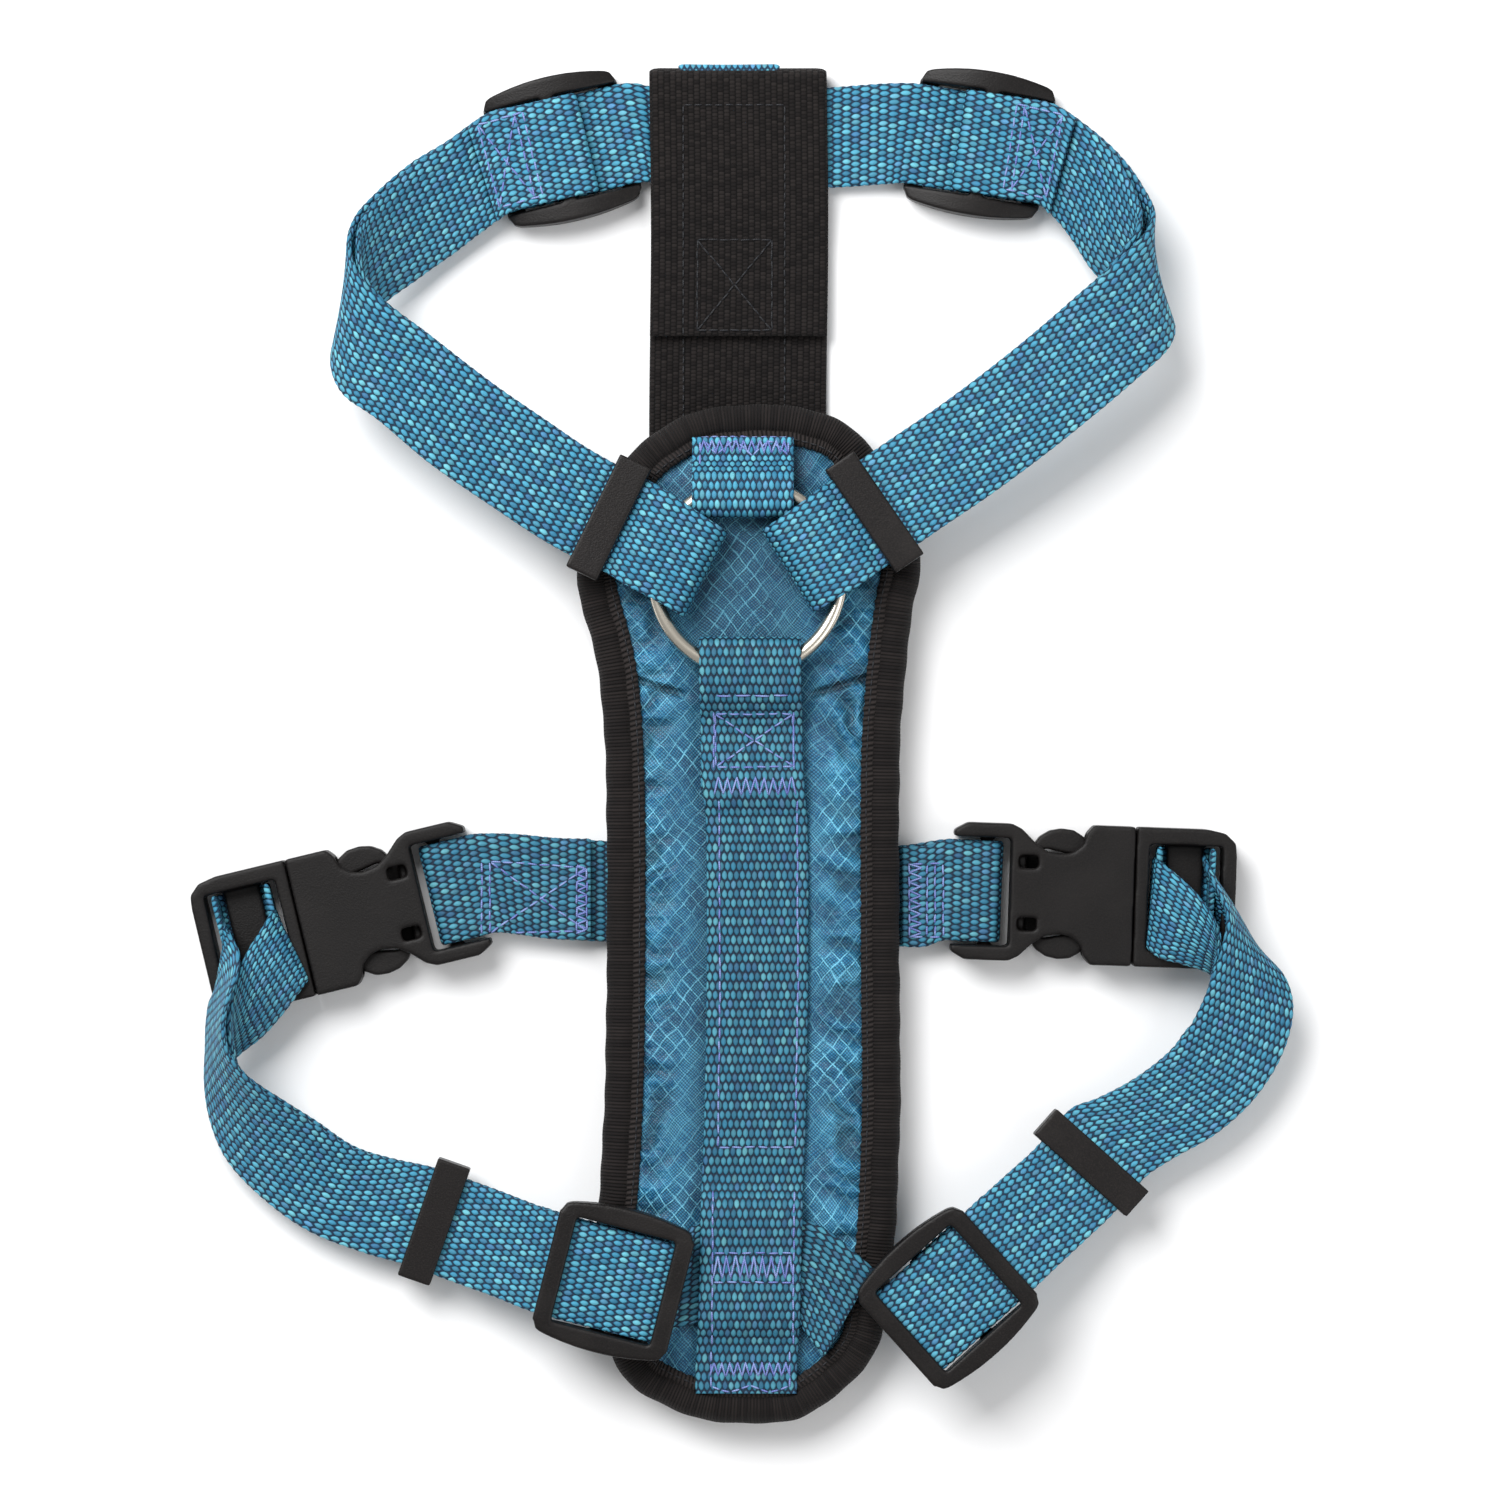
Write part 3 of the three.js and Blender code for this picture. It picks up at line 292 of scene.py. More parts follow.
def mat_bind():
    g = G("binding_rib")
    U, V = g.uv()
    # the outer roll has fine ribs square to the edge, the inner band bigger loops
    inner = g.step(V, 6.6, 6.9)
    f1 = g.sub(g.fract(g.div(U, 0.85)), 0.5)
    r1 = g.math("SQRT", g.math("MAXIMUM", g.sub(1.0, g.mul(g.mul(f1, f1), 4.0)), 0.0))
    sl = g.add(g.div(U, 1.25), g.mul(V, 0.16))
    f2 = g.sub(g.fract(sl), 0.5)
    r2 = g.math("SQRT", g.math("MAXIMUM", g.sub(1.0, g.mul(g.mul(f2, f2), 4.4)), 0.0))
    r = g.add(g.mul(r1, g.sub(1.0, inner)), g.mul(g.mul(r2, 1.5), inner))
    nz = g.noise(g.vec(U, V, 1.0), 0.3, 3.0)
    w = g.white(g.vec(g.floor(g.div(U, 0.85)), 1.0, 1.0))
    c0 = g.mix(g.step(r, 0.2, 0.9), lin(6, 4, 4), g.mix(w, lin(22, 18, 18), lin(36, 31, 30)))
    c0 = g.mix(g.mul(g.step(nz, 0.45, 0.8), 0.35), c0, lin(16, 13, 13))
    # painted highlight on the crests of the inner band's loops
    c0 = g.mix(g.mul(inner, g.step(r2, 0.55, 0.95)), c0, lin(47, 42, 41))
    n = g.bump(g.add(r, g.mul(nz, 0.3)), 0.0007, 1.0)
    return g.finish(c0, 0.8, n, spec=0.16, sheen=0.04)


def mat_plastic(name="moulded_plastic", k=1.0, rough=0.42):
    g = G(name)
    o = g.obj()
    fine = g.noise(o, 2600.0, 3.0, 0.7)
    grain = g.voronoi(o, 2100.0)
    big = g.noise(o, 70.0, 3.0)
    c = g.mix(g.step(fine, 0.42, 0.72), lin(14 * k, 12 * k, 12 * k), lin(25 * k, 22 * k, 21 * k))
    c = g.mix(g.mul(g.step(big, 0.45, 0.7), 0.3), c, lin(30 * k, 27 * k, 26 * k))
    n = g.bump(g.add(g.mul(fine, 0.6), g.mul(grain, 0.4)), 0.00016, 0.5)
    r = g.add(rough, g.mul(big, 0.14))
    return g.finish(c, r, n, spec=0.22)


def mat_steel():
    g = G("ring_steel")
    o = g.obj()
    a = g.noise(o, 320.0, 3.0)
    b = g.noise(o, 60.0, 2.0)
    c = g.mix(b, lin(232, 226, 214), lin(196, 188, 172))
    n = g.bump(a, 0.00006, 0.35)
    return g.finish(c, g.add(0.2, g.mul(b, 0.16)), n, metallic=1.0)


def mat_thread(name, c1, c2):
    g = G(name)
    U, V = g.uv()
    tw = g.fract(g.add(g.div(U, 0.5), g.div(V, 0.9)))
    r = g.math("ABSOLUTE", g.sub(tw, 0.5))
    w = g.white(g.vec(g.floor(g.div(U, 3.2)), 1.0, 2.0))
    c = g.mix(w, c1, c2)
    c = g.mix(g.step(r, 0.3, 0.5), c, g.mix(0.5, c, (0.01, 0.02, 0.05, 1)))
    n = g.bump(r, 0.00012, 0.7)
    return g.finish(c, 0.5, n, spec=0.45, sheen=0.1)


def mat_foam():
    g = G("pad_foam")
    o = g.obj()
    v = g.voronoi(o, 900.0)
    c = g.mix(g.step(v, 0.1, 0.6), lin(60, 60, 62), lin(96, 96, 98))
    return g.finish(c, 0.9, g.bump(v, 0.0003, 0.6), spec=0.2)


M_WEB = mat_web()
# a darker copy of the webbing, used for the spine, rear girth and chest straps
M_WEBD = mat_web("webbing_weave_darker", 0.70)
M_RIP = mat_rip()
M_KNIT = mat_knit()
M_LINE = mat_knit("lining_mesh", 1.5, 1.7, 0.0007)
M_BIND = mat_bind()
M_PLAST = mat_plastic()
# the adjuster and keeper plastics are lighter copies of the moulded plastic; the extra lightness is painted highlight
# standing in for the light their edges catch
M_ADJ = mat_plastic("adjuster_plastic", 1.15, 0.36)
M_KEEP = mat_plastic("keeper_plastic", 1.35, 0.36)
M_STEEL = mat_steel()
M_THR = mat_thread("thread_violet", lin(104, 116, 190), lin(140, 160, 214))
# black thread, drawn darker than the knit so the seams read as dark lines: partly the thread's colour, partly painted
# shade of the seam grooves
M_THRK = mat_thread("thread_black", lin(3, 2, 2), lin(14, 12, 12))
M_FOAM = mat_foam()

# ---- mesh helpers --------------------------------------------------------------
def make(name, verts, faces, mat, body, uvs=None, smooth=True):
    """verts in mm; uvs one (u, v) in mm per vertex."""
    me = bpy.data.meshes.new(name)
    v = np.asarray(verts, float) * 0.001
    me.from_pydata(v.tolist(), [], faces)
    me.materials.append(mat)
    lay = me.uv_layers.new(name="UVMap")
    idx = np.empty(len(me.loops), np.int64)
    me.loops.foreach_get("vertex_index", idx)
    if uvs is None:
        q = np.asarray(verts, float)[:, :2]
    else:
        q = np.asarray(uvs, float)
    lay.data.foreach_set("uv", (q[idx] / 100.0).ravel())
    if smooth:
        me.polygons.foreach_set("use_smooth", [True] * len(me.polygons))
    me.update()
    bm = bmesh.new(); bm.from_mesh(me)
    bmesh.ops.recalc_face_normals(bm, faces=bm.faces)
    bm.to_mesh(me); bm.free()
    ob = bpy.data.objects.new(name, me)
    bpy.context.scene.collection.objects.link(ob)
    if body:
        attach(ob, body)
    return ob


def cr_at(P, ts):
    """Centripetal Catmull-Rom through the rows of P, ts from 0 to 1 over the stations."""
    P = np.asarray(P, float)
    n = len(P)
    E = np.vstack([2 * P[0] - P[1], P, 2 * P[-1] - P[-2]])
    out = np.empty((len(ts), P.shape[1]))
    for k, t in enumerate(ts):
        p = min(max(t, 0.0), 1.0) * (n - 1)
        i = min(int(p), n - 2)
        w = p - i
        p0, p1, p2, p3 = E[i], E[i + 1], E[i + 2], E[i + 3]
        d0 = max(np.linalg.norm(p1 - p0), 1e-6) ** 0.5
        d1 = max(np.linalg.norm(p2 - p1), 1e-6) ** 0.5
        d2 = max(np.linalg.norm(p3 - p2), 1e-6) ** 0.5
        t1 = ((p1 - p0) / d0 - (p2 - p0) / (d0 + d1) + (p2 - p1) / d1) * d1
        t2 = ((p2 - p1) / d1 - (p3 - p1) / (d1 + d2) + (p3 - p2) / d2) * d1
        w2, w3 = w * w, w * w * w
        out[k] = (2 * w3 - 3 * w2 + 1) * p1 + (w3 - 2 * w2 + w) * t1 + (-2 * w3 + 3 * w2) * p2 + (w3 - w2) * t2
    return out


class Surf:
    """A strap surface through stations (ux, uy, vx, vy, uz, vz[, bulge x, y, z])."""
    def __init__(s, st, fine=900):
        st = [tuple(q) + (0.0,) * (9 - len(q)) for q in st]
        a = np.array(st, float)
        U, Vv, B = a[:, [0, 1, 4]].copy(), a[:, [2, 3, 5]].copy(), a[:, 6:9]
        U[:, 2] += ZO; Vv[:, 2] += ZO
        ts = np.linspace(0, 1, fine + 1)
        u, v, s.B = cr_at(U, ts), cr_at(Vv, ts), cr_at(B, ts)
        s.C = (u + v) / 2
        w = (u - v) / 2
        l = np.linalg.norm(w, axis=1, keepdims=True)
        s.W = w * np.minimum(1.0, (WEB_W / 2) / l)
        seg = np.linalg.norm(np.diff(s.C, axis=0), axis=1)
        s.len = np.concatenate([[0], np.cumsum(seg)])
        s.total = s.len[-1]

    def get(s, S):
        S = np.clip(np.atleast_1d(S), 0, s.total)
        f = lambda A: np.stack([np.interp(S, s.len, A[:, k]) for k in range(3)], 1)
        return f(s.C), f(s.W), f(s.B)

    def near(s, x, y):
        return float(s.len[np.argmin((s.C[:, 0] - x) ** 2 + (s.C[:, 1] - y) ** 2)])

    def normal(s, S):
        S = np.atleast_1d(S)
        a, _, _ = s.get(S - 0.4); b, _, _ = s.get(S + 0.4); _, w, _ = s.get(S)
        n = np.cross(b - a, w)
        return n / np.linalg.norm(n, axis=1, keepdims=True)

    def rows(s, s0, s1, step=0.6, off=0.0):
        n = max(int(abs(s1 - s0) / step), 2)
        S = np.linspace(s0, s1, n + 1)
        C, W, B = s.get(S)
        N = s.normal(S)
        o = off(S) if callable(off) else np.full(len(S), off)
        return C + N * o[:, None], W.copy(), B.copy()


def stations(surf, s0, s1, step, off=0.0):
    C, W, B = surf.rows(s0, s1, step, off)
    C = C.copy(); C[:, 2] -= ZO
    return [(c[0] + w[0], c[1] + w[1], c[0] - w[0], c[1] - w[1], c[2] + w[2], c[2] - w[2], b[0], b[1], b[2]) for c, w, b in zip(C, W, B)]


def ribbon(name, C, W, B=None, thick=WEB_T, mat=None, body="root", slot="webbing", u0=0.0, na=14, wav=0.16, scallop=0.22):
    C, W = np.asarray(C, float), np.asarray(W, float)
    n = len(C)
    B = np.zeros_like(C) if B is None else np.asarray(B, float)
    th = np.concatenate([[-1.0, -0.985, -0.95], np.linspace(-0.88, 0.88, na - 3), [0.95, 0.985, 1.0]])
    m = len(th)
    P = C[:, None] + W[:, None] * th[None, :, None] + B[:, None] * (1 - th ** 2)[None, :, None]
    seg = np.linalg.norm(np.diff(C, axis=0), axis=1)
    L = u0 + np.concatenate([[0], np.cumsum(seg)])
    di = np.gradient(P, axis=0)
    dj = np.gradient(P, axis=1)
    N = np.cross(di, dj)
    N /= np.maximum(np.linalg.norm(N, axis=2, keepdims=True), 1e-9)
    # a little life: slow waves along the strap and scalloped selvedges
    wave = wav * (np.sin(L * 0.21 + 0.7)[:, None] * np.cos(th * 2.1 + 0.4)[None, :] + 0.5 * np.sin(L * 0.083 + 2.0)[:, None] * th[None, :])
    edge = (np.abs(th) > 0.9)[None, :, None] * np.sign(th)[None, :, None]
    Wn = W / np.maximum(np.linalg.norm(W, axis=1, keepdims=True), 1e-9)
    P = P + N * wave[:, :, None] * 0.6
    P = P + Wn[:, None] * edge * (scallop * (np.abs(np.sin(np.pi * L / 2.3))[:, None, None] - 0.7))
    prof = np.where(np.abs(th) > 0.9, np.sqrt(np.clip(1 - ((np.abs(th) - 0.9) / 0.1) ** 2 * 0.93, 0.02, 1)), 1.0) * thick / 2
    top = P + N * prof[None, :, None]
    bot = P - N * prof[None, :, None]
    verts = np.concatenate([top.reshape(-1, 3), bot.reshape(-1, 3)])
    uu = np.repeat(L, m); vv = np.tile(th * WEB_W / 2, n)
    uvs = np.concatenate([np.stack([uu, vv], 1), np.stack([uu + 1.1, vv + 0.4], 1)])
    F = []
    K = n * m
    for i in range(n - 1):
        for j in range(m - 1):
            a = i * m + j; b = a + 1; c = a + m + 1; d = a + m
            F.append((a, b, c, d)); F.append((K + a, K + d, K + c, K + b))
        a = i * m; F.append((a, a + m, K + a + m, K + a))
        a = i * m + m - 1; F.append((a, K + a, K + a + m, a + m))
    for j in range(m - 1):
        a = j; F.append((a, K + a, K + a + 1, a + 1))
        a = (n - 1) * m + j; F.append((a, a + 1, K + a + 1, K + a))
    return make(name, verts, F, mat or M_WEB, body, uvs)


def path_rows(pts, w, step=0.6):
    """Rows along a path in a fixed width direction; sharp corners of the path are rounded by the spline."""
    P = np.asarray(pts, float)
    seg = np.linalg.norm(np.diff(P, axis=0), axis=1)
    n = int(seg.sum() / step)
    C = cr_at(P, np.linspace(0, 1, max(n * 3, 30)))
    s = np.concatenate([[0], np.cumsum(np.linalg.norm(np.diff(C, axis=0), axis=1))])
    S = np.linspace(0, s[-1], n + 1)
    C = np.stack([np.interp(S, s, C[:, k]) for k in range(3)], 1)
    W = np.tile(np.asarray(w, float), (len(C), 1))
    return C, W


def arc_yz(x, y0, sgn, z0, z1, n=10):
    r, zc, up = abs(z1 - z0) / 2, (z1 + z0) / 2, np.sign(z1 - z0)
    return [(x, y0 + sgn * math.cos(a) * r, zc + up * math.sin(a) * r) for a in (-math.pi / 2 + math.pi * i / n for i in range(n + 1))]


def dep_mesh(ob):
    dg = bpy.context.evaluated_depsgraph_get()
    dg.update()
    return bpy.data.meshes.new_from_object(ob.evaluated_get(dg))


def remeshed(name, me, voxel, smooth_it, mat, body, factor=0.5):
    ob = bpy.data.objects.new(name + "_tmp", me)
    bpy.context.scene.collection.objects.link(ob)
    r = ob.modifiers.new("r", "REMESH"); r.mode = "VOXEL"; r.voxel_size = voxel * 0.001; r.use_smooth_shade = True
    if smooth_it:
        k = ob.modifiers.new("s", "SMOOTH"); k.factor = factor; k.iterations = smooth_it
    m2 = dep_mesh(ob)
    bpy.data.objects.remove(ob)
    v = np.empty(len(m2.vertices) * 3); m2.vertices.foreach_get("co", v)
    v = v.reshape(-1, 3) * 1000
    F = [tuple(p.vertices) for p in m2.polygons]
    bpy.data.meshes.remove(m2)
    return make(name, v, F, mat, body)


def solid_mesh(parts):
    """One mesh from closed (verts, faces) parts, in metres."""
    V, F = [], []
    for v, f in parts:
        o = len(V)
        V += [tuple(c * 0.001 for c in q) for q in v]
        F += [tuple(i + o for i in q) for q in f]
    me = bpy.data.meshes.new("tmp")
    me.from_pydata(V, [], F)
    bm = bmesh.new(); bm.from_mesh(me)
    bmesh.ops.recalc_face_normals(bm, faces=bm.faces)
    bm.to_mesh(me); bm.free()
    return me


def prism(outline, z0, z1, M=None):
    n = len(outline)
    v = [(x, y, z0) for x, y in outline] + [(x, y, z1) for x, y in outline]
    f = [tuple(range(n - 1, -1, -1)), tuple(range(n, 2 * n))] + [(i, (i + 1) % n, n + (i + 1) % n, n + i) for i in range(n)]
    if M is not None:
        v = [tuple(M @ Vector(q)) for q in v]
    return v, f


def ring_prism(outer, inner, z0, z1, M=None):
    n = len(outer)
    assert n == len(inner)
    v = [(x, y, z0) for x, y in outer] + [(x, y, z1) for x, y in outer] + [(x, y, z0) for x, y in inner] + [(x, y, z1) for x, y in inner]
    f = []
    for i in range(n):
        j = (i + 1) % n
        f += [(i, j, n + j, n + i), (2 * n + j, 2 * n + i, 3 * n + i, 3 * n + j), (n + i, n + j, 3 * n + j, 3 * n + i), (j, i, 2 * n + i, 2 * n + j)]
    if M is not None:
        v = [tuple(M @ Vector(q)) for q in v]
    return v, f


def box(x0, x1, y0, y1, z0, z1, M=None):
    return prism([(x0, y0), (x1, y0), (x1, y1), (x0, y1)], z0, z1, M)


def frame_of(c, x, y, z):
    m = Matrix((x, y, z)).transposed().to_4x4()
    m.translation = c
    return m


def moulded(node, voxel=0.4, it=10, mat=None, body=None, extra=()):
    """A rounded moulding made from the outline of the CAD piece, which it stands for."""
    src = NODES[node]
    me = src.data.copy()
    me.transform(src.matrix_world)
    for v in list(me.uv_layers):
        me.uv_layers.remove(v)
    if extra:
        bm = bmesh.new(); bm.from_mesh(me)
        for e in extra:
            t = solid_mesh([e]); bm.from_mesh(t); bpy.data.meshes.remove(t)
        bm.to_mesh(me); bm.free()
    ob = remeshed(node + "_moulded", me, voxel, it, mat or M_PLAST, body)
    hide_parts(node)
    return ob

# ---- neck webbing ------------------------------------------------------------
NL = Surf([
    (2.41, 165.32, 2.41, 140.07, SLEEVE, SLEEVE),
    (-11.94, 165.32, -11.94, 140.07, SLEEVE, SLEEVE),
    (-17.43, 165.32, -17.18, 140.07, SLEEVE, SLEEVE),
    (-20.68, 165.57, -19.93, 140.32, SLEEVE + 0.1, SLEEVE + 0.05),
    (-26.43, 166.57, -21.93, 141.57, NZ - 0.1, NZ - 0.1),
    (-31.43, 166.07, -25.43, 141.42, NZ, NZ),
    (-38.31, 164.32, -32.31, 139.70, NZ, NZ),
    (-46.74, 162.32, -40.74, 137.70, NZ, NZ),
    (-55.19, 160.32, -49.19, 135.70, NZ, NZ),
    (-63.69, 158.32, -57.69, 133.70, NZ + 0.3, NZ),
    (-72.94, 151.57, -64.44, 129.32, NZ + 4.5, NZ),
    (-81.94, 145.57, -72.44, 123.58, 13, 4),
    (-90.19, 139.07, -81.19, 116.83, 18, 4.4),
    (-95.19, 132.82, -90.44, 110.58, 22, 6),
    (-96.44, 126.83, -98.44, 102.83, 24, 10),
    (-94.44, 119.83, -101.69, 93.83, 25, 16.5),
    (-88.69, 111.33, -98.94, 87.83, 24.6, 20.5),
    (-76.94, 102.33, -89.69, 81.08, 23.6, 23),
    (-61.94, 90.83, -75.94, 69.58, 22.4, 22.4),
    (-48.19, 81.33, -61.44, 59.58, 21.2, 21.2),
    (-37.44, 74.08, -48.94, 51.33, 20.6, 20.6),
    (-29.43, 69.58, -40.44, 46.58, KZ, KZ),
    (-25.43, 67.58, -36.44, 44.58, KZ, KZ),
    (-21.68, 65.83, -32.69, 42.83, KZ + 0.2, KZ + 0.2),
    (-18.93, 64.08, -30.18, 41.33, ZR_TOP - 1.0, ZR_TOP - 1.0),
    (-15.44, 61.83, -26.93, 39.33, ZR_TOP, ZR_TOP),
    (-9.44, 57.83, -20.68, 36.08, ZR_TOP, ZR_TOP),
    (-2.69, 53.08, -12.94, 31.82, ZR_TOP, ZR_TOP),
])
NR = Surf([
    (2.51, 165.32, 2.51, 140.07, SLEEVE, SLEEVE),
    (13.06, 165.32, 13.06, 140.07, SLEEVE, SLEEVE),
    (23.57, 165.57, 23.57, 140.32, SLEEVE, SLEEVE),
    (38.06, 166.57, 37.06, 141.07, NZ - 0.1, NZ - 0.1),
    (45.56, 166.40, 41.56, 141.40, NZ, NZ),
    (51.81, 165.40, 47.81, 140.40, NZ, NZ),
    (60.06, 164.07, 56.06, 139.07, NZ, NZ),
    (68.31, 162.75, 64.31, 137.75, NZ, NZ),
    (74.56, 161.75, 70.56, 136.75, NZ, NZ),
    (80.56, 160.57, 76.06, 135.82, NZ + 0.3, NZ),
    (88.56, 154.82, 80.81, 131.82, NZ + 3.5, NZ),
    (95.06, 148.32, 85.56, 126.83, 12, 4),
    (100.56, 140.32, 91.31, 120.08, 17, 4.6),
    (103.56, 133.07, 100.06, 111.83, 21.5, 7.5),
    (100.81, 126.83, 108.56, 105.83, 24, 13),
    (92.56, 119.83, 108.06, 98.33, 25, 18),
    (84.31, 111.83, 100.06, 91.58, 24.6, 22),
    (74.31, 103.08, 89.56, 82.83, 23.6, 23),
    (61.81, 93.08, 77.06, 72.83, 22.4, 22.4),
    (49.31, 83.83, 63.56, 62.83, 21.2, 21.2),
    (37.81, 76.08, 51.81, 54.83, 20.6, 20.6),
    (29.82, 70.58, 43.81, 49.33, KZ, KZ),
    (25.82, 67.83, 39.81, 46.58, KZ, KZ),
    (22.32, 65.33, 36.31, 44.08, KZ + 0.2, KZ + 0.2),
    (20.07, 63.70, 34.06, 42.58, ZR_TOP - 1.0, ZR_TOP - 1.0),
    (17.07, 61.33, 31.07, 40.33, ZR_TOP, ZR_TOP),
    (12.31, 57.95, 25.82, 37.08, ZR_TOP, ZR_TOP),
    (6.31, 53.33, 18.57, 33.08, ZR_TOP, ZR_TOP),
])
sGL, sGR = NL.near(-44.19, 149.95), NR.near(60.81, 151.22)
sKL, sKR = NL.near(-32.19, 56.83), NR.near(34.06, 58.08)


def neck(name, surf, off, sG, out, gap_at, gap):
    end = surf.total
    sK = end - out
    r = (ZR_TOP - ZR_LOW) / 2
    sF = end - r - WEB_T / 2
    sB = surf.near(*gap_at)

    def spread(S):
        # the two layers lie together, part a little in the bend, and part wide at the ring
        base = PLY + gap * np.exp(-((S - sB) / 16.0) ** 2)
        z = surf.get(S)[0][:, 2]
        k = np.clip((S - sK) / 4.2, 0, 1); e = k * k * (3 - 2 * k)
        low = (KZ + ZO - PLY) + (ZR_LOW - (KZ + ZO - PLY)) * e
        return off * np.where(S <= sK, base, z - low)
    C1, W1, B1 = surf.rows(sG + 11, sF, 0.6, spread)
    c, w, _ = surf.get([sF])
    t = surf.get([sF + 0.3])[0][0] - surf.get([sF - 0.3])[0][0]
    t[2] = 0; t /= np.linalg.norm(t)
    C2 = []
    for i in range(1, 20):
        a = -math.pi / 2 + math.pi * i / 20
        q = c[0].copy(); q[2] = (ZR_TOP + ZR_LOW) / 2 + r * math.sin(a)
        C2.append(q + t * r * math.cos(a))
    C3, W3, B3 = surf.rows(sF, 0.15, 0.6)
    C = np.vstack([C1, C2, C3]); W = np.vstack([W1, np.tile(w, (len(C2), 1)), W3])
    ob = ribbon(name + "_webbing", C, W)
    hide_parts(name)
    return ob


straps = []
straps.append(neck("neck_strap_left", NL, -1, sGL, 19.4, (-94.44, 119.83), 0.9))
straps.append(neck("neck_strap_right", NR, 1, sGR, 20.4, (100.81, 126.83), 2.6))

# ---- girth webbing -------------------------------------------------------------
GZ = PLATE_TOP + 7.6 - ZO
rz = PLATE_TOP + 1.3 - ZO
bt = BZ + BT
GL_P = [
    (-15.44, -124.10, -21.59, -148.75, GZ - 0.3, GZ - 0.3),
    (-18.43, -123.35, -24.59, -148.00, GZ, GZ),
    (-20.68, -122.80, -26.84, -147.45, GZ, GZ),
    (-27.93, -120.92, -34.09, -145.57, GZ, GZ),
    (-35.19, -119.10, -41.34, -143.75, GZ, GZ),
    (-41.69, -117.48, -47.84, -142.12, GZ - 0.2, GZ - 0.2),
    (-47.44, -115.78, -54.19, -140.18, GZ - 2.6, GZ - 2.6),
    (-53.19, -113.92, -60.44, -137.93, GZ - 6, GZ - 6),
    (-60.19, -111.42, -68.19, -135.43, 12, 12),
    (-67.44, -108.92, -75.94, -132.80, 10, 10),
    (-71.94, -107.35, -80.44, -131.23, 10, 10),
    (-76.44, -105.78, -84.94, -129.65, 10, 10),
    (-84.44, -104.17, -93.94, -127.17, 10, 9.4),
    (-95.69, -100.92, -107.94, -121.67, 12, 8.6),
    (-106.69, -95.42, -120.44, -113.67, 16, 7.6),
    (-116.94, -89.17, -128.94, -104.42, 20.5, 6.6),
    (-124.44, -82.67, -132.94, -94.67, 25, 6.2),
    (-128.69, -76.67, -134.19, -85.67, 28, 7.6),
    (-129.69, -70.17, -133.94, -76.67, 29.5, 9.6),
    (-128.44, -63.92, -133.69, -69.67, 29.5, 11),
    (-126.19, -57.67, -132.69, -64.67, 27.5, 12.0, -0.8, 0.0, 0.0),
    (-125.69, -52.67, -131.44, -64.17, 23.5, 12.6, -1.8, 0.2, 0.0),
    (-127.19, -48.92, -129.19, -64.67, 18.0, 12.2, -2.2, 0.2, 0.0),
    (-129.19, -45.92, -126.19, -65.67, 11.5, 10.0, -1.2, 0.2, 0.0),
    (-130.19, -43.67, -123.94, -67.42, 6.5, 6.0),
]
GLI = [
    (-125.44, -81.67, -132.19, -93.17, 23.6, 5.0),
    (-127.19, -76.67, -131.69, -86.67, 26, 6.4),
    (-128.44, -71.17, -129.44, -81.67, 26.2, 8.0),
    (-127.94, -65.17, -125.44, -77.67, 25.2, 9.6),
    (-126.69, -59.17, -120.19, -73.67, 23.4, 11.4, 0.0, 0.0, 1.2),
    (-123.69, -51.92, -114.69, -67.67, 20.8, 12.8, 0.0, 0.0, 2.0),
    (-119.94, -45.92, -110.19, -61.67, 17.0, 13.2, 0.0, 0.0, 2.0),
    (-117.94, -42.17, -108.69, -59.67, 12.0, 12.8, 0.4, 0.0, 0.6),
    (-117.19, -40.92, -109.19, -61.17, 7.4, 8.0),
]
GR_P = [
    (34.06, -136.68, 51.06, -155.68, GZ - 0.3, GZ - 0.3),
    (37.06, -134.05, 54.06, -153.05, GZ, GZ),
    (40.81, -130.68, 57.81, -149.68, GZ, GZ),
    (47.06, -125.07, 64.06, -144.07, GZ, GZ),
    (53.06, -119.67, 70.06, -138.68, GZ, GZ),
    (57.06, -116.12, 74.06, -135.12, GZ - 0.4, GZ - 0.4),
    (62.56, -111.17, 79.81, -129.93, GZ - 3, GZ - 3),
    (68.56, -106.05, 86.56, -123.92, 15, 15),
    (74.31, -101.05, 93.31, -117.80, 13, 13),
    (78.81, -96.05, 97.81, -112.80, 12.5, 12.5),
    (83.31, -91.05, 102.31, -107.80, 12.5, 12.5),
    (90.56, -88.17, 108.56, -103.67, 12.8, 12.4),
    (101.81, -83.17, 121.06, -97.67, 13.6, 12),
    (110.81, -75.67, 131.06, -88.17, 15.4, 11.5),
    (116.31, -66.67, 137.81, -76.67, 17.6, 11.5),
    (119.81, -58.17, 140.06, -66.17, 20.2, 12),
    (122.31, -49.92, 138.31, -59.17, 22.6, 13),
    (123.31, -43.17, 133.56, -54.17, 23.8, 13.6),
    (121.56, -37.67, 129.31, -50.42, 22.4, 13.4, 1.2, 0.0, 0.0),
    (119.31, -33.17, 125.81, -48.92, 18.0, 12.6, 1.8, 0.0, 0.0),
    (118.06, -29.93, 123.31, -48.92, 12.4, 10.6, 1.2, 0.0, 0.0),
    (117.56, -27.68, 121.56, -49.67, 6.8, 6.6),
]
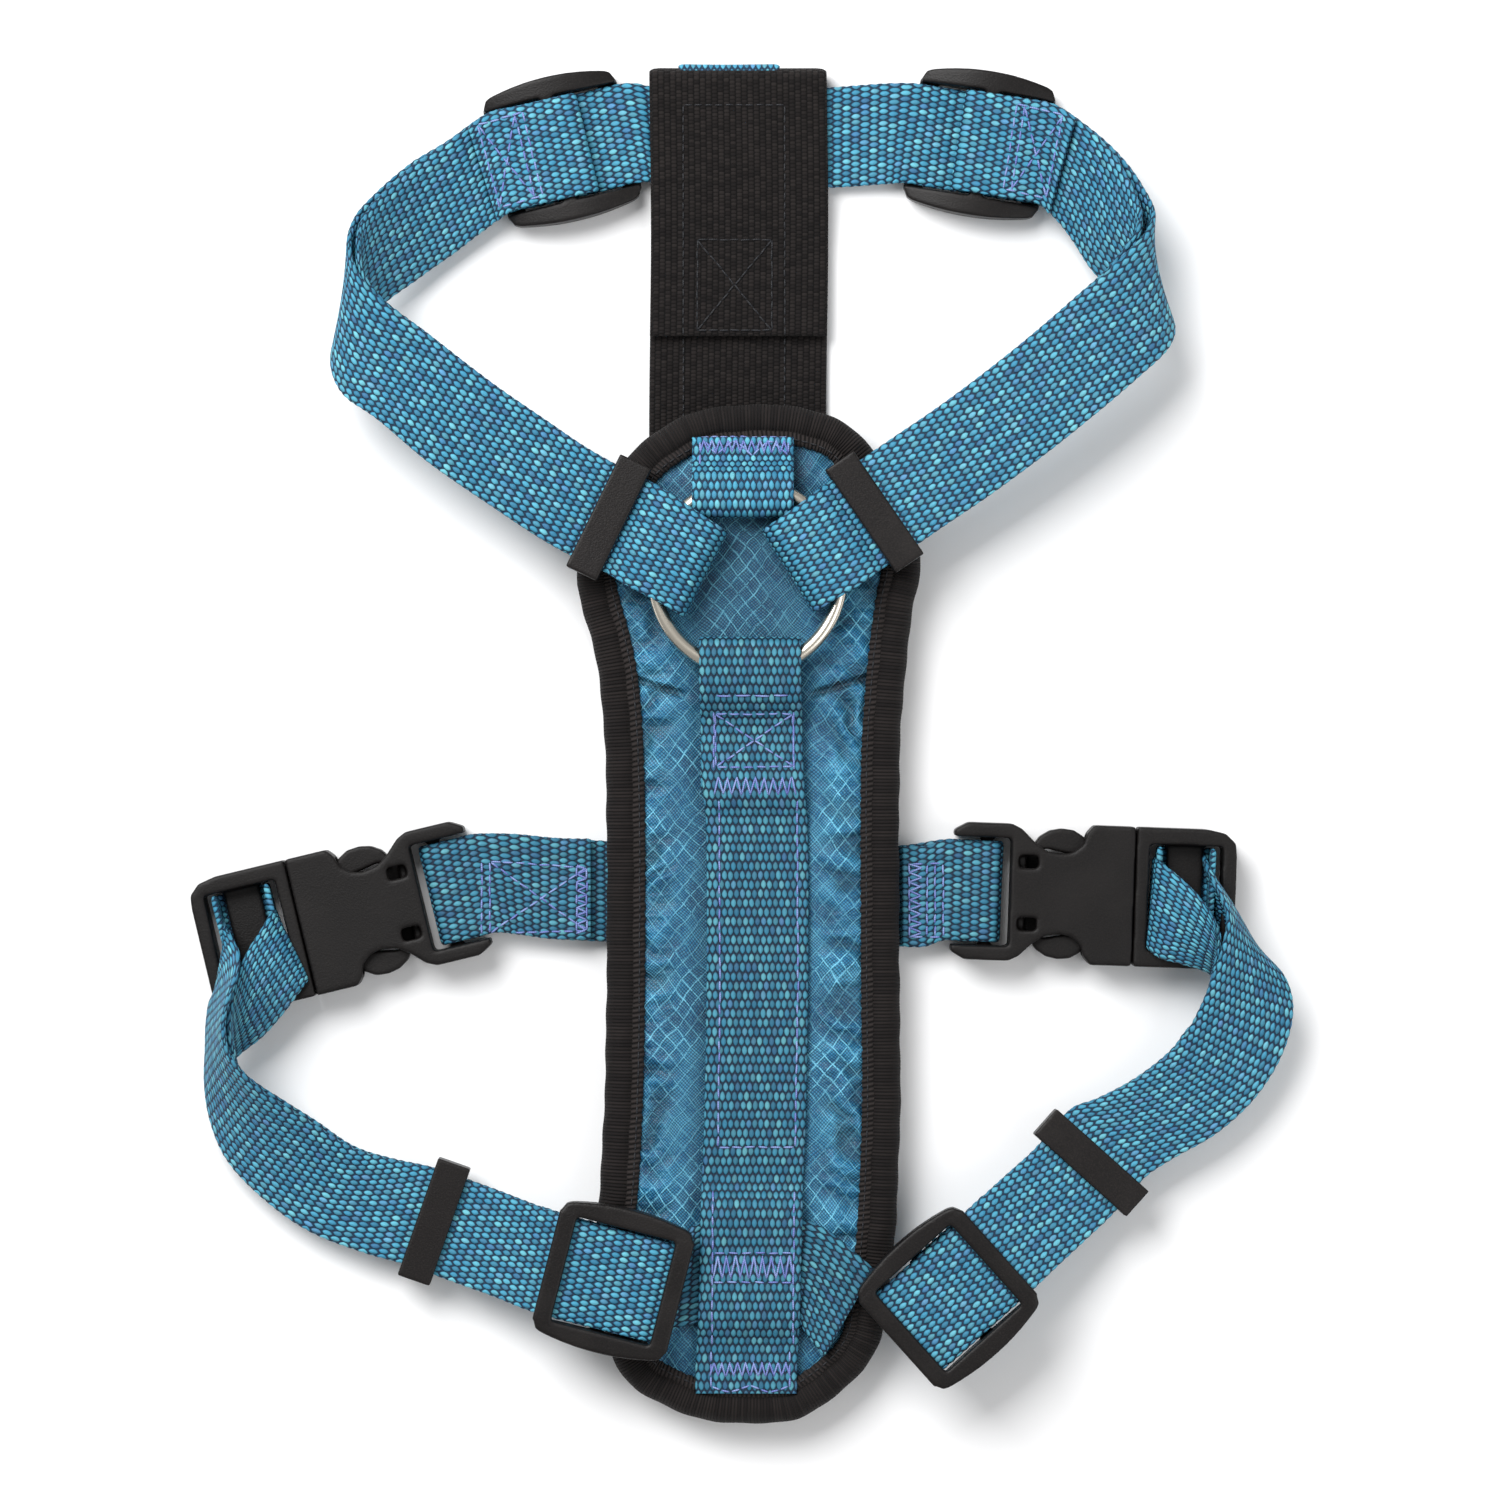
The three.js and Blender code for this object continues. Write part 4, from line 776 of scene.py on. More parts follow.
GRI = [
    (117.31, -67.17, 133.56, -79.17, 15.4, 9.8),
    (119.06, -59.67, 131.06, -71.17, 17.6, 10.6),
    (120.81, -51.67, 125.56, -63.67, 20.2, 12.0),
    (121.06, -45.67, 119.06, -57.67, 21.8, 13.6, 0.0, 0.0, 1.0),
    (117.56, -39.42, 112.06, -55.17, 20.4, 14.4, 0.0, 0.0, 1.8),
    (112.06, -33.67, 106.56, -53.67, 17.4, 14.2, 0.0, 0.0, 2.0),
    (107.06, -29.68, 103.81, -51.67, 13.2, 12.6, 0.0, 0.0, 1.0),
    (105.06, -28.18, 104.06, -50.67, 7.4, 7.0),
]


def seen(S, k0):
    """Stations from k0 on are placed where the camera sees them."""
    out = []
    for k, s in enumerate(S):
        if k >= k0:
            a, b = 1 - s[4] / 1600.0, 1 - s[5] / 1600.0
            s = (s[0] * a, s[1] * a, s[2] * b, s[3] * b) + tuple(s[4:])
        out.append(tuple(s))
    return out


GL = Surf(seen(GL_P, 14))
GR = Surf(seen(GR_P, 12))
GLI, GRI = seen(GLI, 0), seen(GRI, 0)
sTL, sTR = GL.near(-30.93, -133.18), GR.near(52.31, -137.43)
sHL, sHR = GL.near(-76.19, -119.30), GR.near(88.31, -104.42)


def girth(tag, surf, inner, sG, split, tail):
    ob = ribbon("girth_%s_webbing" % tag, *surf.rows(0, surf.total, 0.6), body=None)
    a = stations(surf, sG + 11, surf.near(*split), 5.0, inner * PLY)
    s2 = Surf(a + list(tail))
    ob2 = ribbon("girth_%s_webbing_under" % tag, *s2.rows(0, s2.total, 0.6), body=None)
    for o in (ob, ob2):
        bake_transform(o)
    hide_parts("girth_strap_%s_outer" % tag, "girth_bend_%s" % tag)
    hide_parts("girth_strap_%s_inner" % tag)
    return [ob, ob2], s2


gl_obs, GL2 = girth("left", GL, 1, sTL, (-117.44, -95.67), GLI)
gr_obs, GR2 = girth("right", GR, -1, sTR, (124.31, -78.67), GRI)
straps += gl_obs + gr_obs


def resample(C, W, step=0.5):
    A = np.hstack([np.asarray(C, float), np.asarray(W, float)])
    D = cr_at(A, np.linspace(0, 1, len(A) * 12))
    s = np.concatenate([[0], np.cumsum(np.linalg.norm(np.diff(D[:, :3], axis=0), axis=1))])
    S = np.linspace(0, s[-1], int(s[-1] / step) + 1)
    D = np.stack([np.interp(S, s, D[:, k]) for k in range(6)], 1)
    return D[:, :3], D[:, 3:]


def loop_webbing(node, surf, s, side, fold):
    """The end of the webbing turned round the middle bar of an adjuster and sewn down."""
    C, W = [], []

    def at(q, h):
        c, w, _ = surf.get([s + q]); n = surf.normal([s + q])
        C.append(c[0] + n[0] * side * (h - (0.35 if "neck" in node and q > 6 and h < -3.0 else 0.0))); W.append(w[0])
    at(8.5 + fold, -1.75); at(6 + fold, -1.75); at(3.4 + fold, -1.72)
    for i in range(9):
        a = math.pi / 2 - math.pi * i / 8
        at(fold + 0.9 - 1.9 * math.cos(a), -3.6 + 1.9 * math.sin(a))
    for q, h in ((3.5, -5.5), (7, -5.45), (10, -5.3), (13, -5.0), (17, -4.5), (21, -4.05), (25, -3.85)):
        at(q + fold * 0.5, h)
    ob = ribbon(node + "_sewn_end", *resample(C, W), body=node.replace("_webbing_loop", ""))
    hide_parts(node)
    return ob


straps.append(loop_webbing("neck_adjuster_left_webbing_loop", NL, sGL, 1, -5.0))
straps.append(loop_webbing("neck_adjuster_right_webbing_loop", NR, sGR, -1, -4.0))
loop_webbing("girth_adjuster_left_webbing_loop", GL, sTL, -1, 0.0)
loop_webbing("girth_adjuster_right_webbing_loop", GR, sTR, 1, 0.0)

REAR = Surf([
    (-17.43, -122.67, -23.18, -147.18, rz + 1.6, rz + 1.6),
    (-13.44, -121.42, -17.43, -146.18, rz + 0.8, rz + 0.8),
    (-9.44, -119.17, -10.19, -144.18, rz, rz),
    (-4.94, -117.67, -4.44, -142.68, rz, rz),
    (1.81, -116.92, 1.81, -142.18, rz, rz),
    (9.31, -116.92, 8.81, -142.18, rz, rz),
    (15.56, -118.17, 12.81, -142.68, rz, rz),
    (21.57, -120.67, 15.56, -144.93, rz + 0.3, rz + 0.3),
    (28.57, -125.92, 18.57, -148.93, rz + 1.4, rz + 1.4),
    (34.06, -130.68, 21.57, -152.43, rz + 2.2, rz + 2.2),
])
ob = ribbon("girth_rear_webbing", *REAR.rows(0, REAR.total, 0.6), mat=M_WEBD)
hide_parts("girth_webbing_rear")
straps.append(ob)

# ring loops and spine
zaL, zaT = PLATE_TOP + 2.7, PLATE_TOP + 8.3
XO, YO = 1.815, 0.325
pts = [(-0.5, 76.2, PLATE_TOP + 1.0), (-0.5, 72, PLATE_TOP + 1.0), (-0.5, 69.5, PLATE_TOP + 1.0), (-0.5, 66.5, zaL), (-0.5, 63, zaL)]
rF = (zaT - zaL) / 2 + WEB_T / 2
pts += arc_yz(-0.5, 56.4 + rF, -1, zaL, zaT)
pts += [(-0.5, 64, zaT), (-0.5, 66.5, zaT - 0.4), (-0.5, 70.8, PLATE_TOP + 2.9), (-0.5, 73, PLATE_TOP + 2.75), (-0.5, 76.6, PLATE_TOP + 2.7)]
C, W = path_rows([(x + XO, y + YO, z) for x, y, z in pts], (12.7, 0, 0), 0.5)
ob = ribbon("ring_loop", C, W)
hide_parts("ring_loop_webbing"); straps.append(ob)

low, top = PLATE_TOP + 1.0, PLATE_TOP + 2.75
zl, zt = PLATE_TOP + 2.4, PLATE_TOP + 8.6
r = (zt - zl) / 2
pts = [(1.6, -12, low), (1.6, 0, low), (1.6, 8, low), (1.4, 12, low + 0.3), (1.3, 17, zl)]
pts += arc_yz(1.3, 26.7 - r - WEB_T / 2, 1, zl, zt)
pts += [(1.3, 15.5, zt - 0.3), (1.4, 11.5, zt - 1.6), (1.6, 5.5, top + 0.3), (1.8, -4, top), (2.3, -13, top), (2.8, -17.5, low + 0.3), (3, -22, low),
        (3.1, -60, low), (2.3, -100, low), (1.8, -110.5, low + 0.1), (1.7, -115.5, top + 0.9), (1.4, -128, top + 0.95), (1, -143.5, top + 0.9), (0.7, -149.5, low + 0.2), (0.3, -156, low), (0.3, -162.3, low)]
C, W = path_rows([(x + XO, y + YO, z) for x, y, z in pts], (12.7, 0, 0), 0.5)
SPINE = ribbon("spine_strap", C, W, mat=M_WEBD)
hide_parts("spine_webbing"); straps.append(SPINE)

# ---- buckle frames -------------------------------------------------------------
def bx(cx, cy, dx, dy):
    x = Vector((dx, dy, 0)).normalized(); z = Vector((0, 0, 1)); y = z.cross(x)
    return frame_of(Vector((cx, cy, BZ)), x, y, z)


BL = bx(-109.44, -45.67, 0.972, 0.234)
BR = bx(99.19, -37.92, -0.9993, 0.036)
LP = lambda B, x, z, y=0.0: np.array(B @ Vector((x, y, z)))
BY = lambda B: np.array(B.to_3x3() @ Vector((0, 1, 0)))

# webbing through the chest panel, sewn back round both housings
def side(B, tail):
    w = BY(B); w = -w if w[1] < 0 else w
    Cc, Ww = [], []
    for q in tail:
        d = np.array([q[3] if len(q) > 3 else 0.0, 1.0, 0.0])
        Cc.append(np.array(q[:3])); Ww.append(d / np.linalg.norm(d) * 12.7)
    for x, z in ((47, 1.9), (43, 2.4), (39.5, 2.7)):
        Cc.append(LP(B, x, z)); Ww.append(w * 12.7)
    for i in range(9):
        a = math.pi * i / 8
        Cc.append(LP(B, 36.3 - 2.7 * math.sin(a), 2.7 * math.cos(a))); Ww.append(w * 12.7)
    for x, z in ((39, -2.7), (43, -2.5), (47, -2.3)):
        Cc.append(LP(B, x, z)); Ww.append(w * 12.7)
    return Cc, Ww


lc, lw = side(BL, [(-36.94, -36.17, 5.9), (-46.94, -35.92, 6.2, 0.02), (-55.69, -34.92, 7.0, -0.08)])
rc, rw = side(BR, [(41.31, -37.92, 5.9), (46.81, -37.92, 6.3)])
mid = [(-55.69, -34.92, 3.8, -0.08), (-46.94, -35.92, 3.9, 0.02), (-34.44, -36.67, 3.7, 0), (-21.93, -37.17, SLEEVE, 0), (0.56, -37.42, SLEEVE, 0), (24.32, -37.67, SLEEVE, 0), (40.56, -37.92, 3.7, 0)]
mc = [np.array(q[:3]) for q in mid]
mw = [np.array([q[3], 1.0, 0.0]) / math.hypot(q[3], 1) * 12.7 for q in mid]
C, W = resample(lc + mc + rc[::-1], lw + mw + rw[::-1], 0.6)
ob = ribbon("chest_girth_strap", C, W, mat=M_WEBD)
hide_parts("chest_girth_webbing"); straps.append(ob)

for tag, B in (("left", BL), ("right", BR)):
    w = BY(B) * 12.7
    Cc = [LP(B, -19.5, 5.2), LP(B, -19.5, 2)]
    for i in range(5):
        a = math.pi / 2 * i / 4
        Cc.append(LP(B, -17.9 - 1.6 * math.cos(a), -1.3 - 1.6 * math.sin(a)))
    for i in range(5):
        a = math.pi / 2 * i / 4
        Cc.append(LP(B, -7.7 + 1.6 * math.sin(a), -1.3 - 1.6 * math.cos(a)))
    Cc += [LP(B, -6.1, 2), LP(B, -6.1, 5.2)]
    C, W = resample(Cc, [w] * len(Cc), 0.5)
    ob = ribbon("buckle_%s_webbing_turn" % tag, C, W, body="buckle_%s_male" % tag)
    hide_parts("girth_webbing_%s_turn" % tag)

# ---- back plate ------------------------------------------------------------------
PLATE = [
    (1.56, 85.33), (-9.44, 83.83), (-18.43, 79.83), (-27.43, 72.58), (-34.94, 60.08), (-39.44, 50.08), (-40.19, 41.33), (-38.94, 34.33), (-36.69, 26.32), (-34.69, 16.32), (-33.19, -3.67),
    (-32.94, -63.67), (-33.44, -88.67), (-34.44, -108.67), (-35.44, -121.17), (-34.44, -138.68), (-31.68, -152.43), (-26.93, -160.18), (-19.43, -164.93), (-9.44, -168.68), (1.81, -169.93),
    (14.31, -168.93), (23.57, -163.68), (31.32, -156.68), (35.31, -149.93), (37.56, -138.68), (39.31, -123.67), (40.31, -105.67), (40.81, -84.67), (40.56, -63.67), (40.56, -3.67),
    (41.06, 6.58), (42.31, 21.57), (44.06, 35.08), (45.81, 45.08), (44.06, 53.83), (39.81, 65.08), (33.56, 74.33), (26.82, 80.83), (15.56, 84.58),
]


def closed_curve(P, n):
    P = np.array(P, float)
    k = len(P)
    E = np.vstack([P[-3:], P, P[:4]])
    t0, t1 = 3 / (len(E) - 1), (3 + k) / (len(E) - 1)
    D = cr_at(E, np.linspace(t0, t1, n * 8 + 1))
    s = np.concatenate([[0], np.cumsum(np.linalg.norm(np.diff(D, axis=0), axis=1))])
    S = np.linspace(0, s[-1], n + 1)[:-1]
    return np.stack([np.interp(S, s, D[:, i]) for i in range(2)], 1), s[-1]


NPL = 720
OUT, PERIM = closed_curve(PLATE, NPL)


def inset(P, d):
    T = np.roll(P, -3, 0) - np.roll(P, 3, 0)
    T /= np.linalg.norm(T, axis=1, keepdims=True)
    return P + np.stack([-T[:, 1], T[:, 0]], 1) * np.asarray(d).reshape(-1, 1)


def loft_pad(name, d0, z_top, z_bot, rings, mat, slot, n=240):
    """A pad between two flat sheets inside the outline, closed round its rim."""
    P = inset(OUT, np.full(NPL, d0))[:: NPL // n]
    lo, hi = P[:, 1].min() + 26, P[:, 1].max() - 34
    xc = np.interp(P[:, 1], [lo, -60, 20, hi], [(2.56, 186.32)[0], (3.56, 186.32)[0], (3.06, 186.32)[0], (2.56, 186.32)[0]])
    Q = np.stack([xc, np.clip(P[:, 1], lo, hi)], 1)
    V, uv = [], []
    for side in (0, 1):
        for k in range(rings + 1):
            f = k / rings * 0.985
            p = P + (Q - P) * f
            z = np.full(len(p), 0.0) + ((z_top if side == 0 else z_bot))
            V.append(np.column_stack([p, z]))
    V = np.vstack(V)
    m = len(P); F = []
    for side in (0, 1):
        o = side * (rings + 1) * m
        for k in range(rings):
            for i in range(m):
                j = (i + 1) % m
                F.append((o + k * m + i, o + k * m + j, o + (k + 1) * m + j, o + (k + 1) * m + i))
    for i in range(m):
        j = (i + 1) % m
        F.append((i, j, (rings + 1) * m + j, (rings + 1) * m + i))
    for side in (0, 1):
        o = side * (rings + 1) * m + rings * m
        F.append(tuple(o + i for i in range(m)))
    return V, F


def dist_in(P, X):
    """Distance of points X inside the outline P to it."""
    from mathutils.kdtree import KDTree
    kd = KDTree(len(P))
    for i, p in enumerate(P):
        kd.insert((p[0], p[1], 0), i)
    kd.balance()
    d = np.empty(len(X)); k = np.empty(len(X), int)
    for i, x in enumerate(X):
        _, j, dd = kd.find((x[0], x[1], 0))
        d[i] = dd; k[i] = j
    return d, k


# face and filling: inflated by a cloth simulation from a slab
V, F = loft_pad("pad", 5.5, PLATE_TOP - 0.5, PLATE_Z0 + 2.0, 10, M_RIP, "ripstop")
me = bpy.data.meshes.new("pad_slab")
me.from_pydata((V * 0.001).tolist(), [], [list(map(int, f)) for f in F])
bm = bmesh.new(); bm.from_mesh(me); bmesh.ops.recalc_face_normals(bm, faces=bm.faces); bm.to_mesh(me); bm.free()
tmp = bpy.data.objects.new("pad_tmp", me)
bpy.context.scene.collection.objects.link(tmp)
rm = tmp.modifiers.new("r", "REMESH"); rm.mode = "VOXEL"; rm.voxel_size = 0.0022
m2 = dep_mesh(tmp)
bpy.data.objects.remove(tmp)
base = np.empty(len(m2.vertices) * 3); m2.vertices.foreach_get("co", base); base = base.reshape(-1, 3)
cl = bpy.data.objects.new("pad_cloth", m2)
bpy.context.scene.collection.objects.link(cl)
cm = cl.modifiers.new("c", "CLOTH")
cm.settings.quality = 5
cm.settings.mass = 0.25
cm.settings.use_pressure = True
cm.settings.uniform_pressure_force = 4.0
cm.settings.effector_weights.gravity = 0.0
cm.settings.tension_stiffness = 20
cm.settings.compression_stiffness = 20
cm.collision_settings.use_self_collision = False
cm.collision_settings.use_collision = False
cm.point_cache.frame_start = 1; cm.point_cache.frame_end = 20
bpy.context.scene.frame_start = 1; bpy.context.scene.frame_end = 20
for fr in range(1, 21):
    bpy.context.scene.frame_set(fr)
m3 = dep_mesh(cl)
sim = np.empty(len(m3.vertices) * 3); m3.vertices.foreach_get("co", sim); sim = sim.reshape(-1, 3)
bpy.data.objects.remove(cl)
bpy.context.scene.frame_set(1)
d = sim - base
l = np.linalg.norm(d, axis=1, keepdims=True)
cap = 0.0016
base = base + d * np.minimum(1.0, cap / np.maximum(l, 1e-9))
m2 = m3
m2.vertices.foreach_set("co", base.ravel())
tmp = bpy.data.objects.new("pad_tmp", m2)
bpy.context.scene.collection.objects.link(tmp)
sb = tmp.modifiers.new("s", "SUBSURF"); sb.levels = 1
m4 = dep_mesh(tmp)
bpy.data.objects.remove(tmp)
v = np.empty(len(m4.vertices) * 3); m4.vertices.foreach_get("co", v); v = v.reshape(-1, 3) * 1000
faces = [tuple(p.vertices) for p in m4.polygons]
dd, kk = dist_in(OUT, v[:, :2])
S = kk / NPL * PERIM
isup = v[:, 2] > 10.2
# the face is drawn down where the webbing is sewn on, and puckers along the binding
xs = np.interp(v[:, 1], [-160, -100, -60, -20, 30], [(2.56, 186.32)[0], (4.06, 186.32)[0], (4.81, 186.32)[0], (3.56, 186.32)[0], (3.56, 186.32)[0]])
sewn = np.clip(1 - (np.abs(v[:, 0] - xs) - 13.2) / 3.0, 0, 1) * (v[:, 1] < 11)
edge = np.clip((dd - 8.2) / 7.0, 0, 1)
puck = np.exp(-((dd - 9.5) / 5.5) ** 2) * (np.sin(S * 2 * math.pi / 9.5 + 1.5 * np.sin(S * 0.05)) * 0.38 + 0.22 * np.sin(S * 2 * math.pi / 5.3 + 0.8))
fold = np.zeros(len(v))
for (fx, fy, ang, amp, wid, ln) in ((-20.68, 11.32, 0.10, -0.9, 1.6, 9.0), (-19.43, 8.32, 0.25, 0.55, 2.2, 10.0), (28.07, 10.07, -0.3, -0.9, 1.6, 8.0), (26.82, 13.82, -0.5, 0.5, 2.0, 9.0),
                                    (-19.43, -111.17, 0.5, -0.5, 2.0, 10.0), (28.07, -103.67, -0.5, -0.5, 2.0, 10.0), (-18.93, -63.67, 0.2, -0.35, 2.4, 9.0), (26.82, -46.17, -0.2, -0.35, 2.4, 9.0)):
    a = (v[:, 0] - fx) * math.cos(ang) + (v[:, 1] - fy) * math.sin(ang)
    b = -(v[:, 0] - fx) * math.sin(ang) + (v[:, 1] - fy) * math.cos(ang)
    fold += amp * np.exp(-(b / wid) ** 2 - (a / ln) ** 2)
crown = 0.75 * (1 - np.abs(np.clip((np.abs(v[:, 0] - xs) - 20.5) / 8.5, -1, 1)) ** 2) * (v[:, 1] < 20)
zup = PLATE_TOP - 0.15 + (v[:, 2] - np.median(v[isup, 2])) * 0.5
zup = zup + (crown * (1 - sewn) + puck + fold) * edge - 0.25 * sewn
zmax = np.where((np.abs(v[:, 0] - xs) < 13.4) & (v[:, 1] < 12), PLATE_TOP + 0.12, PLATE_TOP + 1.5)
v[:, 2] = np.where(isup, np.minimum(zup, zmax), np.maximum(v[:, 2], PLATE_Z0 + 1.35))
PAD = make("plate_pad", v, faces, M_RIP, "root")
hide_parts("plate_face", "plate_foam")

# lining under the plate
V, F = loft_pad("lining", 4.0, PLATE_Z0 + 1.2, PLATE_Z0 + 0.1, 14, M_LINE, "knit")
dd2, kk2 = dist_in(OUT, V[:, :2])
nz = 0.25 * np.sin(V[:, 0] * 0.31 + 1) * np.cos(V[:, 1] * 0.17) + 0.2 * np.sin(kk2 / NPL * PERIM * 0.7) * np.exp(-((dd2 - 8) / 6) ** 2)
V[:, 2] += np.where(V[:, 2] < PLATE_Z0 + 0.6, nz * 0.6, 0)
LIN = make("plate_lining_mesh", V, [tuple(map(int, f)) for f in F], M_LINE, "root")
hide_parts("plate_lining")

# rolled binding
PROF = [(9.7, 13.2), (9.5, 13.75), (8.9, 14.1), (8.1, 14.25), (7.3, 14.05), (6.9, 13.7), (6.6, 13.75), (6.2, 14.2), (5.4, 14.6), (4.2, 14.85), (3.0, 14.7), (1.9, 14.2), (0.9, 13.2), (0.25, 11.9), (0.0, 10.4),
        (0.1, 9.1), (0.6, 7.9), (1.5, 7.0), (2.8, 6.5), (4.4, 6.35), (5.8, 6.5), (6.6, 6.9), (6.9, 6.95), (7.3, 6.7), (8.1, 6.5), (8.9, 6.6), (9.5, 6.9), (9.7, 7.4)]
S = np.arange(NPL) / NPL * PERIM
Vs, uvs = [], []
per = lambda f: round(f * PERIM / (2 * math.pi)) * 2 * math.pi / PERIM
for d, z in PROF:
    wob = 0.10 * np.sin(S * per(0.63) + 0.4) + 0.08 * np.sin(S * per(0.231) + 1.0)
    dv = d + (wob if d < 7 else 0.12 * np.sin(S * per(1.9))) + (0.08 * np.sin(S * per(2 * math.pi / 1.25)) if d > 9 else 0)
    p = inset(OUT, dv)
    zz = np.full(NPL, z) + (0.10 * np.sin(S * per(0.47) + d) if z > 10 else 0)
    Vs.append(np.column_stack([p, zz])); uvs.append(np.column_stack([S, np.full(NPL, d)]))
m = len(PROF)
V = np.vstack(Vs)
F = []
for k in range(m):
    k2 = (k + 1) % m
    for i in range(NPL):
        j = (i + 1) % NPL
        F.append((k * NPL + i, k * NPL + j, k2 * NPL + j, k2 * NPL + i))
BIND = make("plate_binding_roll", V, F, M_BIND, "root", np.vstack(uvs))
lay = BIND.data.uv_layers[0].data
for p in BIND.data.polygons:
    us = [lay[l].uv[0] for l in p.loop_indices]
    if max(us) - min(us) > PERIM / 200.0:
        for l in p.loop_indices:
            if lay[l].uv[0] < PERIM / 200.0:
                lay[l].uv[0] += PERIM / 100.0
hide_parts("plate_binding")

# ---- chest panel ------------------------------------------------------------------
PT = 2.4
zt_, zu_ = PT / 2 + 0.01, PT + 2.1 + PT / 2
r = (zu_ - zt_) / 2; zc = (zu_ + zt_) / 2
yF, yR, lowr = 170.4, -51, PT * 1.5 + 0.3
pp = [(103, lowr), (114, lowr), (126, lowr + 0.1), (138, zu_ - 0.4), (146, zu_), (154, zu_)]
for i in range(9):
    a = math.pi / 2 - math.pi * i / 8
    pp.append((yF - PT / 2 - r + math.cos(a) * r, zc + math.sin(a) * r))
pp += [(140, zt_), (100, zt_), (60, zt_), (0, zt_), (-30, zt_)]
for i in range(9):
    a = -math.pi / 2 - math.pi * i / 8
    pp.append((yR - PT / 2 + r - 3.6 + math.cos(a) * r, zc + math.sin(a) * r))
pp += [(-32, zu_), (-22, zu_), (-13, lowr), (-2, lowr)]
px0 = (0.19, 186.32)[0]
C, W = path_rows([(px0, y, z) for y, z in pp], (22.3, 0, 0), 0.8)
C[:, 0] += 0.25 * np.sin(C[:, 1] * 0.06)
PANEL = ribbon("chest_panel_knit", C, W, thick=PT, mat=M_KNIT, slot="knit", na=30, wav=0.12, scallop=0.0)
for q in PANEL.data.vertices:
    q.co.z = max(q.co.z, 0.0)
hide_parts("chest_panel")
# webbing inside the panel, showing along its front edge
pts = [(px0 - 2.4, 150, 3.4), (px0 - 2.4, 160, 3.0), (px0 - 2.4, 168.0, 2.2), (px0 - 2.4, 170.5, 2.8), (px0 - 2.4, 170.7, 3.6), (px0 - 2.4, 170.0, 4.6), (px0 - 2.4, 167.5, 5.0)]
C, W = path_rows(pts, (12.7, 0, 0), 0.5)
P_IN = ribbon("chest_panel_inner_webbing", C, W, body="root")

# ---- lead ring ------------------------------------------------------------------------
rc_ = Vector((2.44, 41.83, 18.89))
n1, n2 = 160, 24
V, uv, F = [], [], []
for i in range(n1):
    a = 2 * math.pi * i / n1
    for j in range(n2):
        b = 2 * math.pi * j / n2
        rr = 1.72 * (1 + 0.006 * math.sin(5 * a + 2 * b))
        V.append((rc_.x + (23.25 + rr * math.cos(b)) * math.cos(a), rc_.y + (23.25 + rr * math.cos(b)) * math.sin(a), rc_.z + rr * math.sin(b)))
        uv.append((a * 23.25, b * 1.72))
        F.append((i * n2 + j, ((i + 1) % n1) * n2 + j, ((i + 1) % n1) * n2 + (j + 1) % n2, i * n2 + (j + 1) % n2))
RING = make("lead_ring", V, F, M_STEEL, "o_ring", uv)
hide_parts("o_ring")

# ---- mouldings ---------------------------------------------------------------------------
for t in ("left", "right"):
    moulded("buckle_%s_housing" % t, 0.42, 14, body="root")
    moulded("buckle_%s_male" % t, 0.42, 13, body="buckle_%s_male" % t)
    for a in ("a", "b"):
        moulded("buckle_%s_arm_%s" % (t, a), 0.35, 8, body="buckle_%s_arm_%s" % (t, a))


def adjuster(node, surf, s, side):
    c, w, _ = surf.get([s]); n = surf.normal([s])[0]
    a = surf.get([s - 0.4])[0][0]; b = surf.get([s + 0.4])[0][0]
    x = Vector(b - a).normalized(); z = Vector(n * side); y = z.cross(x)
    M = frame_of(Vector(c[0]), x, y, z)
    hl = 17.25
    parts = []
    N = 28
    for sg in (1, -1):
        arc = [(-hl + 2 * hl * i / N, 0) for i in range(N + 1)]
        o = []
        for q, _ in arc:
            e = abs(q) / hl
            yo = 18.3 - 2.3 * e ** 2
            if e > 0.86:
                yo -= 2.6 * (1 - math.sqrt(max(0, 1 - ((e - 0.86) / 0.14) ** 2)))
            o.append((q, yo))
        poly = o + [(hl, 13.3), (-hl, 13.3)]
        poly = [(p, q * sg) for p, q in poly]
        parts.append(prism(poly, -4.6, 3.0))
    parts.append(box(-hl, -hl + 4.6, -14, 14, 1.0, 3.1))
    parts.append(box(hl - 4.6, hl, -14, 14, 1.0, 3.1))
    parts.append(box(-0.5, 2.5, -14, 14, -4.4, -2.7))
    me = solid_mesh(parts)
    tmp = bpy.data.objects.new("t", me); bpy.context.scene.collection.objects.link(tmp)
    r = tmp.modifiers.new("r", "REMESH"); r.mode = "VOXEL"; r.voxel_size = 0.0004
    k = tmp.modifiers.new("s", "SMOOTH"); k.factor = 0.5; k.iterations = 8
    m2 = dep_mesh(tmp); bpy.data.objects.remove(tmp)
    v = np.empty(len(m2.vertices) * 3); m2.vertices.foreach_get("co", v); v = v.reshape(-1, 3) * 1000
    F = [tuple(p.vertices) for p in m2.polygons]
    # the rails are deepest over the middle bar
    k = 0.34 + 0.66 * np.clip(1 - (v[:, 0] / 16.5) ** 2, 0, 1)
    v[:, 2] = np.where(v[:, 2] < 0, v[:, 2] * k, v[:, 2])
    M3 = np.array(M)
    v = v @ M3[:3, :3].T + M3[:3, 3]
    ob = make(node + "_moulded", v, F, M_ADJ, node)
    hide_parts(node)
    return ob


adjuster("neck_adjuster_left", NL, sGL, 1)
adjuster("neck_adjuster_right", NR, sGR, -1)
adjuster("girth_adjuster_left", GL, sTL, -1)
adjuster("girth_adjuster_right", GR, sTR, 1)
for k in ("neck_keeper_left", "neck_keeper_right", "girth_keeper_left", "girth_keeper_right"):
    moulded(k, 0.3, 8, M_KEEP, body=k)

